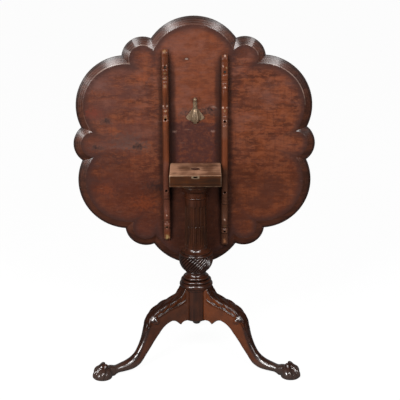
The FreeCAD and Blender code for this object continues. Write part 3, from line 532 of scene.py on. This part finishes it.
# Spots where a bearer's front is rubbed or stained, the cream ones painted highlights: place across from its
# middle, height, reach and shade.
CREAM_HIGHLIGHT, GOLD, OLIVE = (0.62, 0.41, 0.32, 1), (0.34, 0.20, 0.10, 1), (0.19, 0.125, 0.06, 1)
SHADE, LEFT_TOE, RIGHT_TOE = (0.06, 0.018, 0.011, 1), (0.42, 0.29, 0.12, 1), (0.36, 0.155, 0.07, 1)
LEFT_SPOTS = (
    (0, 1.078, 0.016, GOLD), (-0.006, 1.030, 0.007, CREAM_HIGHLIGHT), (0.005, 1.030, 0.007, CREAM_HIGHLIGHT),
    (0, 1.004, 0.014, OLIVE), (0, 0.987, 0.010, GOLD), (0, 0.961, 0.013, GOLD),
    (-0.0065, 0.893, 0.008, CREAM_HIGHLIGHT), (0.0065, 0.893, 0.008, CREAM_HIGHLIGHT), (0, 0.876, 0.010, GOLD),
    (0, 0.852, 0.016, GOLD), (0, 0.852, 0.010, SHADE), (0, 0.504, 0.008, CREAM_HIGHLIGHT),
    (0, 0.477, 0.007, CREAM_HIGHLIGHT), (0, 0.456, 0.014, OLIVE), (0, 0.419, 0.022, LEFT_TOE))
RIGHT_SPOTS = (
    (0, 1.061, 0.011, CREAM_HIGHLIGHT), (-0.005, 1.026, 0.009, CREAM_HIGHLIGHT), (0.005, 1.022, 0.009, GOLD),
    (0.001, 0.956, 0.009, CREAM_HIGHLIGHT), (-0.006, 0.886, 0.008, CREAM_HIGHLIGHT), (0.006, 0.886, 0.008, CREAM_HIGHLIGHT),
    (0, 0.873, 0.010, GOLD), (0, 0.487, 0.010, CREAM_HIGHLIGHT), (0, 0.461, 0.013, OLIVE),
    (0, 0.461, 0.006, SHADE), (0, 0.443, 0.008, CREAM_HIGHLIGHT), (0, 0.404, 0.018, RIGHT_TOE))

# Lengths of a bearer with another tone: from and to a height, shade and share.
LEFT_ZONES = ((0.45, 0.69, (0.120, 0.043, 0.030, 1), 0.6),)
RIGHT_ZONES = ((0.38, 0.665, (0.060, 0.030, 0.019, 1), 0.7),
               (0.79, 0.85, (0.160, 0.075, 0.050, 1), 0.6),
               (0.68, 1.11, (0.095, 0.024, 0.0095, 1), 0.3))


def bearer_finish(name, node, zones, spots):
    """Plain wood for one bearer, with its own tones along it and its own spots."""
    low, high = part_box(node)
    middle = (low.x + high.x) / 2
    placed = [((middle + aside, low.y + 0.004, z), reach, shade) for aside, z, reach, shade in spots]
    return worn_finish(name, ALONG_Z, (0.185, 0.050, 0.019, 1), (0.082, 0.022, 0.009, 1),
                       rub=(0.34, 0.15, 0.09, 1), rubs=0.4, gloss=0.32, shine=1.0,
                       spots=placed, zones=zones, spine=(middle, (high.x - low.x) / 2))


BRASS, TARNISH = (0.44, 0.305, 0.185, 1), (0.19, 0.126, 0.078, 1)
VERDIGRIS = (0.17, 0.19, 0.11, 1)
BRASS_DIRT_AND_SHADE = (0.05, 0.03, 0.018, 1)
IRON, RUST = (0.07, 0.065, 0.06, 1), (0.06, 0.024, 0.012, 1)


def brass_finish():
    """Old yellow brass with brown and greenish tarnish, darkened in its corners by dirt and painted shade."""
    finish, b, skin, place = new_finish("old_brass")
    tarnish = patches(b, place, 150.0, 0.36, 0.62)
    green = patches(b, b.mapped(place, place=(0.2, 0.1, 0.4)), 90.0, 0.58, 0.7)
    metal = b.tint(b.mix(tarnish, BRASS, TARNISH), 0.35, green, VERDIGRIS)
    # dirt and painted shade in the corners
    metal = b.mix(b.rise(b.openness(0.008), 0.8, 0.3), metal, BRASS_DIRT_AND_SHADE)
    b.feed(skin.inputs["Base Color"], metal)
    b.feed(skin.inputs["Metallic"], b.minus(0.8, b.times(tarnish, 0.55)))
    b.feed(skin.inputs["Roughness"], b.plus(0.3, b.times(tarnish, 0.22)))
    raise_surface(b, skin, b.noise(place, 500.0, 3.0), 0.0001, 0.5)
    return finish


def iron_finish():
    """Dark hand-made iron, browned with rust."""
    finish, b, skin, place = new_finish("dark_iron")
    rust = patches(b, place, 180.0, 0.42, 0.62)
    b.feed(skin.inputs["Base Color"], b.mix(rust, IRON, RUST))
    b.feed(skin.inputs["Metallic"], b.minus(0.85, b.times(rust, 0.7)))
    b.feed(skin.inputs["Roughness"], b.plus(0.42, b.times(rust, 0.3)))
    raise_surface(b, skin, b.noise(place, 700.0, 4.0), 0.0002, 0.7)
    return finish


# Worn and carved pieces

SAME_POINT = 1e-6          # points nearer to each other than this are one
LEG_FACE, BLOCK_FACE, BEARER_FACE = 0.0015, 0.0015, 0.0012     # size of the even faces
LEG_SHARP, PLAIN_SHARP = 160, 110                              # bend of a wholly rubbed edge, per metre
LEG_ROUNDS, BLOCK_ROUNDS, BEARER_ROUNDS = 3, 4, 10             # of smoothing
CARVING_ROUNDS, SCROLL_ROUNDS = 7, 25


def even_mesh(node, size):
    """A closed copy of a CAD node with small even faces, as a bmesh."""
    copy = bpy.data.objects.new("copy", nodes[node].data.copy())
    room.objects.link(copy)
    bm = bmesh.new()
    bm.from_mesh(copy.data)
    bmesh.ops.remove_doubles(bm, verts=bm.verts, dist=SAME_POINT)
    bm.to_mesh(copy.data)
    bm.free()
    even = copy.modifiers.new("even", "REMESH")
    even.mode = "VOXEL"
    even.voxel_size = size
    mesh = bpy.data.meshes.new_from_object(copy.evaluated_get(bpy.context.evaluated_depsgraph_get()))
    bpy.data.objects.remove(copy)
    bm = bmesh.new()
    bm.from_mesh(mesh)
    bpy.data.meshes.remove(mesh)
    return bm


def soften(bm, rounds, verts=None):
    """Smooths all points, or the given ones, a number of times."""
    axes = {"use_axis_x": True, "use_axis_y": True, "use_axis_z": True}
    for _ in range(rounds):
        bmesh.ops.smooth_vert(bm, verts=verts or bm.verts, factor=0.5, **axes)


BEND_ROUNDS = 3                          # times that a point's bend is shared with its neighbours
RUBBED_FROM, HOLLOW_FROM = 0.15, 0.1     # shares of the sharp bend at which rubbing and dirt start


def mark_wear(bm, sharp):
    """Stores on each point how rubbed its edge is, and how deep it lies in a corner; sharp is per metre."""
    bm.normal_update()
    bend = []
    for v in bm.verts:
        near = [e.other_vert(v).co for e in v.link_edges]
        pull = sum(near, Vector()) / len(near) - v.co
        step = sum((p - v.co).length_squared for p in near) / len(near)
        bend.append(-pull.dot(v.normal) / max(step, 1e-12))
    bm.verts.index_update()
    for _ in range(BEND_ROUNDS):
        bend = [(bend[v.index] + sum(bend[e.other_vert(v).index] for e in v.link_edges))
                / (1 + len(v.link_edges)) for v in bm.verts]
    rubbed = bm.verts.layers.float.new("rubbed")
    hollow = bm.verts.layers.float.new("hollow")
    for v in bm.verts:
        share = bend[v.index] / sharp
        v[rubbed] = min(1.0, max(0.0, share - RUBBED_FROM))
        v[hollow] = min(1.0, max(0.0, -share - HOLLOW_FROM))


def stand_for(bm, node, body, finish):
    """Makes a bmesh the piece that is seen in place of a CAD node."""
    mesh = bpy.data.meshes.new(node + "_seen")
    for face in bm.faces:
        face.smooth = True
    bm.to_mesh(mesh)
    bm.free()
    mesh.materials.append(finish)
    piece = bpy.data.objects.new(node + "_seen", mesh)
    room.objects.link(piece)
    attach(piece, body)
    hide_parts(node)
    return piece


# The legs are worked on with their length along X: distance from the pillar's axis, and height.

# The upper edge of a leg from the pillar to below the knee.
KNEE_LINE = ((0.059, 0.261), (0.070, 0.247), (0.095, 0.235), (0.130, 0.226), (0.160, 0.212), (0.183, 0.195),
             (0.198, 0.173), (0.207, 0.145), (0.211, 0.130))
KNEE_LENGTH = 0.215        # along that line
KNEE_DEPTH = 0.022         # from the upper edge to the line that the carving turns about
KNEE_STEPS = 12            # stations from one point of the line to the next
KNEE_OUT, KNEE_UP = (0.055, 0.23), (0.115, 0.275)     # the carving's distances and heights
KNEE_CORNER = 0.26         # distance and height together are more than this
KNEE_INNER = -0.03         # a point lower than this under a station's heart doesn't belong to that station
KNEE_SLIP = 0.008          # a point further than this along from its station isn't carved
SCROLL_WAY = 0.725         # share of the way to the scroll that ends the bead
SCROLL_UP = 0.003          # the scroll's middle over the line that the carving turns about
SCROLL_R = 0.0155          # its radius
SCROLL_DOME = 8.5          # its height in millimetres

SHIN_STARTS = (0.16, 0.175, 0.19, 0.205, 0.22, 0.235)     # the shin is smoothed more and more further out
SHIN_END, SHIN_TOP = 0.33, 0.2
SHIN_ROUNDS = 18
SHIN_FILL = 0.0035         # gives back what the smoothing took, growing and ending over these distances
SHIN_FILL_GROWS, SHIN_FILL_ENDS = (0.19, 0.24), (0.295, 0.325)

FOOT_LEAN = 0.0115         # at the top of the knuckles, growing over these heights and distances
FOOT_LEAN_UP, FOOT_LEAN_OUT = (0.010, 0.055), (0.335, 0.365)

WARM_ENDS = (0.22, 0.33)   # distances over which a leg's warm colour ends


def knee_stations():
    """Places along the knee: share of the way, a point inside the leg, and the outward direction there."""
    points = [Vector(p) for p in KNEE_LINE]
    ways = [0.0]
    for a, b in zip(points, points[1:]):
        ways.append(ways[-1] + (b - a).length)
    stations = []
    for i, (a, b) in enumerate(zip(points, points[1:])):
        before, after = points[max(i - 1, 0)], points[min(i + 2, len(points) - 1)]
        for k in range(KNEE_STEPS):
            run = (b - before).lerp(after - a, k / KNEE_STEPS).normalized()
            out = Vector((-run.y, run.x))
            way = (ways[i] + (b - a).length * k / KNEE_STEPS) / ways[-1]
            stations.append((way, *(a.lerp(b, k / KNEE_STEPS) - out * KNEE_DEPTH), *out))
    return np.array(stations)


def ease(value, low, high):
    """0 below low, 1 above high, with a soft step between."""
    t = np.clip((value - low) / (high - low), 0, 1)
    return t * t * (3 - 2 * t)


def leaf_relief(way, turn, rise):
    """Height of the carving over the plain leg, how dull it is, and where the scrolls are.

    Takes the share of the way along the knee, the turn from its top and the rise from its heart.
    """
    # the bead's place at each side, and how far towards it a point lies
    border = np.radians(102 - 10 * ease(way, 0, 0.45) - 16 * ease(way, 0.45, 0.73))
    across = np.abs(turn) / border / (1 - 0.55 * ease(way, 0.73, 1.0))
    # a leaf with swept lobes and a rib, sunk ground about it, and the bead; heights are in millimetres
    sweep = np.pi * 5.5 * (way - 0.24 * across)
    lobe = np.abs(np.sin(sweep))
    tip = 0.74 + 0.14 * lobe
    leaf = (2.6 * lobe - 1.3) * ease(across, 0.03, 0.2) + 1.0 * np.exp(-(across / 0.07) ** 2)
    inside = 1 - ease(across, tip - 0.05, tip + 0.04)
    ground = -1.5 * (1 - inside) * (1 - ease(across, 0.9, 0.97))
    bead = 3.0 * np.exp(-((across - 1.0) / 0.11) ** 2) * (1 - ease(way, 0.7, 0.75))
    height = (leaf * inside + ground + bead) * ease(way, 0.0, 0.04) * (1 - ease(way, 0.9, 1.0))
    # the scroll, a dome on each side that clears the leaf about it
    over = rise - SCROLL_UP
    from_scroll = np.hypot((way - SCROLL_WAY) * KNEE_LENGTH, over)
    on_side = ease(np.abs(turn), np.radians(25), np.radians(45))
    dome = SCROLL_DOME * np.clip(1 - (from_scroll / SCROLL_R) ** 2, 0, 1) * (1 - 0.6 * over / SCROLL_R)
    cleared = on_side * (1 - ease(from_scroll, SCROLL_R, SCROLL_R * 1.5))
    height = height * (1 - cleared) + dome * on_side
    dull = (1 - ease(across, 1.1, 1.2)) * (1 - ease(way, 0.9, 1.0))
    dull = dull * ease(from_scroll, SCROLL_R * 0.9, SCROLL_R)
    return height / 1000, dull, (on_side > 0.1) & (from_scroll < SCROLL_R * 1.3)


def mark_warm(bm, back, share):
    """Stores on each point of a leg how much it faces sideways or inward, where the colour is warmer, partly
    as painted light.
    """
    warm = bm.verts.layers.float.new("warm")
    for v in bm.verts:
        flat, normal = back @ v.co, back @ v.normal
        out = (normal.x + normal.z) * 0.7
        v[warm] = share * float((1 - ease(out, 0.0, 0.4)) * (1 - ease(flat.x, *WARM_ENDS)))


def lean_foot(bm, back):
    """Leans a foot's knuckles back over its low, broad toe."""
    for v in bm.verts:
        flat = back @ v.co
        lean = FOOT_LEAN * float(ease(flat.z, *FOOT_LEAN_UP) * ease(flat.x, *FOOT_LEAN_OUT))
        v.co -= back.transposed() @ Vector((lean, 0, 0))


def round_shin(bm, back):
    """Rounds a leg's shin without making it thinner."""
    for start in SHIN_STARTS:
        shin = [v for v in bm.verts if start < (back @ v.co).x < SHIN_END and (back @ v.co).z < SHIN_TOP]
        soften(bm, SHIN_ROUNDS, shin)
    bm.normal_update()
    for v in bm.verts:
        far = (back @ v.co).x
        fill = SHIN_FILL * float(ease(far, *SHIN_FILL_GROWS) * (1 - ease(far, *SHIN_FILL_ENDS)))
        v.co += v.normal * fill


def carved_leg(node, turn, lit_warmth, finish):
    """A leg with an acanthus leaf over its knee, edged by a bead that ends in a scroll on each side."""
    bm = even_mesh(node, LEG_FACE)
    soften(bm, LEG_ROUNDS)
    back = Matrix.Rotation(-turn, 3, "Z")
    round_shin(bm, back)
    lean_foot(bm, back)

    def on_knee(point):
        flat = back @ point
        framed = KNEE_OUT[0] < flat.x < KNEE_OUT[1] and KNEE_UP[0] < flat.z < KNEE_UP[1]
        return framed and flat.x + flat.z > KNEE_CORNER

    knee = {e for f in bm.faces if on_knee(f.calc_center_median()) for e in f.edges}
    bmesh.ops.subdivide_edges(bm, edges=list(knee), cuts=1, use_grid_fill=True)
    carved = bm.verts.layers.float.new("carved")
    bm.normal_update()
    cut = [v for v in bm.verts if on_knee(v.co)]
    flat = np.array([back @ v.co for v in cut])
    ways, hearts, outs = np.split(knee_stations(), (1, 3), axis=1)
    away = flat[:, None, (0, 2)] - hearts
    rise = (away * outs).sum(2)
    slip = np.linalg.norm(away - rise[..., None] * outs, axis=2)
    slip[rise < KNEE_INNER] = 1.0
    near = slip.argmin(1)
    one = np.arange(len(cut))
    rise, slip = rise[one, near], slip[one, near]
    height, dull, scroll = leaf_relief(ways[near, 0], np.arctan2(flat[:, 1], rise), rise)
    for v, h, d, s in zip(cut, height, dull, slip):
        if s < KNEE_SLIP:
            v[carved] = float(d)
            v.co += v.normal * float(h)
    soften(bm, CARVING_ROUNDS)
    soften(bm, SCROLL_ROUNDS, [v for v, inside in zip(cut, scroll) if inside])
    mark_wear(bm, LEG_SHARP)
    mark_warm(bm, back, lit_warmth)
    stand_for(bm, node, "base", finish)


MOUTH_ROOM = 0.0015          # taken off the mouth's sides
MOUTH_IN = (0.0008, 0.02)    # how far behind the block's front that starts and ends
MOUTH_OVER = 0.001           # past the strike's upper and lower edge


def worn_block(finish):
    """The pivot block with rounded, rubbed edges, and with room kept in its mouth for the bolt's nose."""
    bm = even_mesh("pivot_block", BLOCK_FACE)
    soften(bm, BLOCK_ROUNDS)
    bm.normal_update()
    low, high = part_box("strike_plate")
    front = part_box("pivot_block")[0].y
    for v in bm.verts:
        framed = low.x < v.co.x < high.x and low.z - MOUTH_OVER < v.co.z < high.z + MOUTH_OVER
        if framed and MOUTH_IN[0] < v.co.y - front < MOUTH_IN[1]:
            v.co -= v.normal * MOUTH_ROOM
    mark_wear(bm, PLAIN_SHARP)
    stand_for(bm, "pivot_block", "base", finish)


def pressed_spring(finish):
    """The catch's spring as a copy of its CAD mesh, with doubled points merged and its faces turned outward.
    """
    bm = bmesh.new()
    bm.from_mesh(nodes["catch_spring"].data)
    bmesh.ops.remove_doubles(bm, verts=bm.verts, dist=SAME_POINT)
    bmesh.ops.recalc_face_normals(bm, faces=bm.faces)
    spring = stand_for(bm, "catch_spring", "top", finish)
    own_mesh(spring)


BEARER_WORN = 0.36           # share of its depth that a bearer loses towards its sides
BEARER_ARC = 0.96            # how much of a half round its front takes


def round_bearer(node, finish):
    """A bearer whose front is worn round from side to side, with softened steps."""
    bm = even_mesh(node, BEARER_FACE)
    low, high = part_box(node)
    middle, half = (low.x + high.x) / 2, (high.x - low.x) / 2
    for v in bm.verts:
        side = min(1.0, abs(v.co.x - middle) / half)
        cut = BEARER_WORN * (1 - math.sqrt(1 - BEARER_ARC * side ** 2))
        v.co.y = high.y - (high.y - v.co.y) * (1 - cut)
    soften(bm, BEARER_ROUNDS)
    mark_wear(bm, PLAIN_SHARP)
    stand_for(bm, node, "top", finish)


SHELL_HALF = 0.0195                        # half the shell's width where it is widest
FOOT_IN, WAIST_IN, HEAD_IN = 0.0075, 0.0065, 0.004     # taken off that at its foot, waist and head
SHELL_CROWN = 0.0105                       # its height over its edges, at the foot
SHELL_SWELL, SHELL_FALL = 0.002, 0.003     # added to that further up, and taken off at the head
SHELL_RIB = 0.2                            # share of the crown that the ribs rise and fall by, at the foot
SHELL_SCALLOP = 0.003                      # the waves of its lower edge
SHELL_THICK = 0.0011
SHELL_OFF = 0.0012                         # from the case's back to the shell's edges


def shell_half_width(up):
    """Half the shell's width at a share of its height."""
    foot, waist, head = 1 - ease(up, 0, 0.26), ease(up, 0.35, 0.75), ease(up, 0.72, 1)
    return SHELL_HALF - FOOT_IN * float(foot) - WAIST_IN * float(waist) - HEAD_IN * float(head)


def shell_case(finish):
    """The catch's case as a ribbed shell that flares towards its foot and is open at both ends."""
    low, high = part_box("catch_case")
    middle, length = (low.x + high.x) / 2, high.z - low.z
    bm = bmesh.new()
    bmesh.ops.create_grid(bm, x_segments=60, y_segments=40, size=1)
    for v in bm.verts:
        side, up = v.co.x, (v.co.y + 1) / 2
        swell = SHELL_SWELL * math.sin(math.pi * min(1.0, up * 1.3))
        crown = SHELL_CROWN + swell - SHELL_FALL * float(ease(up, 0.7, 1.0))
        rib = 1 + SHELL_RIB * (1 - up) * math.cos(side * math.pi * 4)
        drop = SHELL_SCALLOP * (1 - up) ** 3 * abs(math.cos(side * math.pi * 2.5))
        v.co = (middle + shell_half_width(up) * side,
                high.y - crown * rib * (1 - abs(side) ** 2.2) - SHELL_OFF,
                low.z + length * up - drop)
    bmesh.ops.solidify(bm, geom=bm.faces[:], thickness=SHELL_THICK)
    bmesh.ops.recalc_face_normals(bm, faces=bm.faces)
    stand_for(bm, "catch_case", "top", finish)


def dress(finish, *names):
    """Gives CAD nodes that are seen as they are their finish."""
    for name in names:
        for slot in nodes[name].material_slots:
            slot.material = finish


# The table

SHAFT = (0.412, 0.648)     # the heights of the fluted shaft's foot and the capital's top

# The legs: degrees round the pillar, and how warm their sides are, partly painted light: the right leg's, lit
# from the left, most.
LEGS = (("leg_front_left", 210, 0.55), ("leg_front_right", 330, 1.0), ("leg_rear", 90, 0.7))
LEG_GRAIN = math.radians(35)     # down along the leg

board = board_finish()
bearer_left = bearer_finish("bearer_left_wood", "bearer_left", LEFT_ZONES, LEFT_SPOTS)
bearer_right = bearer_finish("bearer_right_wood", "bearer_right", RIGHT_ZONES, RIGHT_SPOTS)
block = worn_finish("block_wood", (0, 0, 0), (0.080, 0.0215, 0.0038, 1), (0.022, 0.007, 0.0018, 1),
                    rub=(0.50, 0.34, 0.22, 1), rubs=0.8, gloss=0.6, shine=0.0,
                    worn_lit_from=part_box("pivot_block")[1].z - 0.001)
pillar = polished_finish("pillar_polish", ALONG_Z, (0.062, 0.0165, 0.006, 1), (0.022, 0.0064, 0.0028, 1),
                         blur=0.18, shaft=SHAFT)
brass = brass_finish()
iron = iron_finish()

dress(board, "tray_top")
dress(pillar, "pillar")
dress(block, "tenon_wedge", "pivot_pin_left", "pivot_pin_right")
dress(brass, "strike_plate", "strike_screws", "catch_plate", "catch_staple", "catch_bolt", "catch_knob",
      "catch_screws")
dress(iron, "bearer_screws_left", "bearer_screws_right", "leg_brace", "brace_nails")

round_bearer("bearer_left", bearer_left)
round_bearer("bearer_right", bearer_right)
shell_case(brass)
worn_block(block)
pressed_spring(iron)

for leg, degrees, lit_warmth in LEGS:
    way = math.radians(degrees)
    polish = polished_finish(leg + "_polish", (0, LEG_GRAIN, -way), (0.048, 0.0125, 0.0048, 1),
                             (0.014, 0.0044, 0.0021, 1), blur=0.2)
    carved_leg(leg, way, lit_warmth, polish)


# Room, light and camera

def lay_floor():
    """A floor that keeps the table's shadow: white to the camera, nearly dark to polished surfaces."""
    mesh = bpy.data.meshes.new("floor")
    bm = bmesh.new()
    bmesh.ops.create_grid(bm, x_segments=4, y_segments=4, size=12)
    bm.to_mesh(mesh)
    bm.free()
    floor = bpy.data.objects.new("floor", mesh)
    room.objects.link(floor)
    finish, b, skin, _ = new_finish("floor_white")
    skin.inputs["Base Color"].default_value = (0.09, 0.09, 0.09, 1)
    skin.inputs["Roughness"].default_value = 0.9
    skin.inputs["Specular IOR Level"].default_value = 0.0
    skin.inputs["Emission Color"].default_value = (1, 1, 1, 1)
    path = b.add("LightPath").outputs
    mirrored = b.math("MAXIMUM", path["Is Glossy Ray"], path["Is Transmission Ray"])
    seen = b.math("MAXIMUM", path["Is Camera Ray"], b.times(mirrored, 0.04))
    b.feed(skin.inputs["Emission Strength"], b.times(seen, 0.95))
    mesh.materials.append(finish)


def light_room():
    """An even grey light. The room is white to the camera and, in polish, paler behind than in front."""
    world = bpy.data.worlds.new("room")
    bpy.context.scene.world = world
    world.use_nodes = True
    b = Bench(world.node_tree)
    shed = world.node_tree.nodes["Background"]
    shed.inputs["Color"].default_value = (1, 1, 1, 1)
    shed.inputs["Strength"].default_value = 0.24
    path = b.add("LightPath").outputs
    back = b.split(b.add("TexCoord").outputs["Generated"])[1]
    span = {"Value": back, "From Min": 0.5, "From Max": 0.95, "To Min": 0.03, "To Max": 0.25}
    shade = b.math("MAXIMUM", b.add("MapRange", span).outputs[0], path["Is Camera Ray"])
    seen = b.add("Background", {"Color": shade, "Strength": 1.0})
    looked_at = b.math("MAXIMUM", b.math("MAXIMUM", path["Is Camera Ray"], path["Is Glossy Ray"]),
                       path["Is Transmission Ray"])
    both = b.add("MixShader", {0: looked_at, 1: shed.outputs[0], 2: seen.outputs[0]})
    b.feed(world.node_tree.nodes["World Output"].inputs["Surface"], both.outputs[0])


# Square soft lamps: degrees to the right of the table's front, degrees up, watts and size.
LAMPS = (("lamp_left", -23, 33, 43.5, 0.85), ("lamp_right", 21, 33, 37, 0.85),
         ("lamp_low", -41, 10, 40, 0.9), ("lamp_low_right", 37, 10, 9, 0.9))
LAMP_AIM = Vector((0, 0.05, 0.6))
LAMP_AWAY = 3.2


def hang_lamp(name, side, lift, watts, size):
    """Hangs one lamp, turned to the table."""
    lamp = bpy.data.lights.new(name, "AREA")
    lamp.energy = watts
    lamp.size = size
    side, lift = math.radians(side), math.radians(lift)
    way = Vector((math.sin(side) * math.cos(lift), -math.cos(side) * math.cos(lift), math.sin(lift)))
    holder = bpy.data.objects.new(name, lamp)
    room.objects.link(holder)
    turned = way.to_track_quat("Z", "Y").to_matrix().to_4x4()
    holder.matrix_world = Matrix.Translation(LAMP_AIM + way * LAMP_AWAY) @ turned


LENS, SENSOR = 106.83, 36                        # millimetres
CAMERA_PLACE = (0.015, -3.88, 1.793)
CAMERA_DOWN, CAMERA_ROLL = 17.41, -0.3           # degrees


def set_camera():
    """The camera that was fitted to the photo."""
    lens = bpy.data.cameras.new("camera")
    lens.lens = LENS
    lens.sensor_width = SENSOR
    camera = bpy.data.objects.new("camera", lens)
    room.objects.link(camera)
    tip = Matrix.Rotation(math.radians(90 - CAMERA_DOWN), 4, "X")
    roll = Matrix.Rotation(math.radians(CAMERA_ROLL), 4, "Z")
    camera.matrix_world = Matrix.Translation(CAMERA_PLACE) @ tip @ roll
    bpy.context.scene.camera = camera
    bpy.context.scene.view_settings.view_transform = "Standard"


lay_floor()
light_room()
for lamp in LAMPS:
    hang_lamp(*lamp)
set_camera()
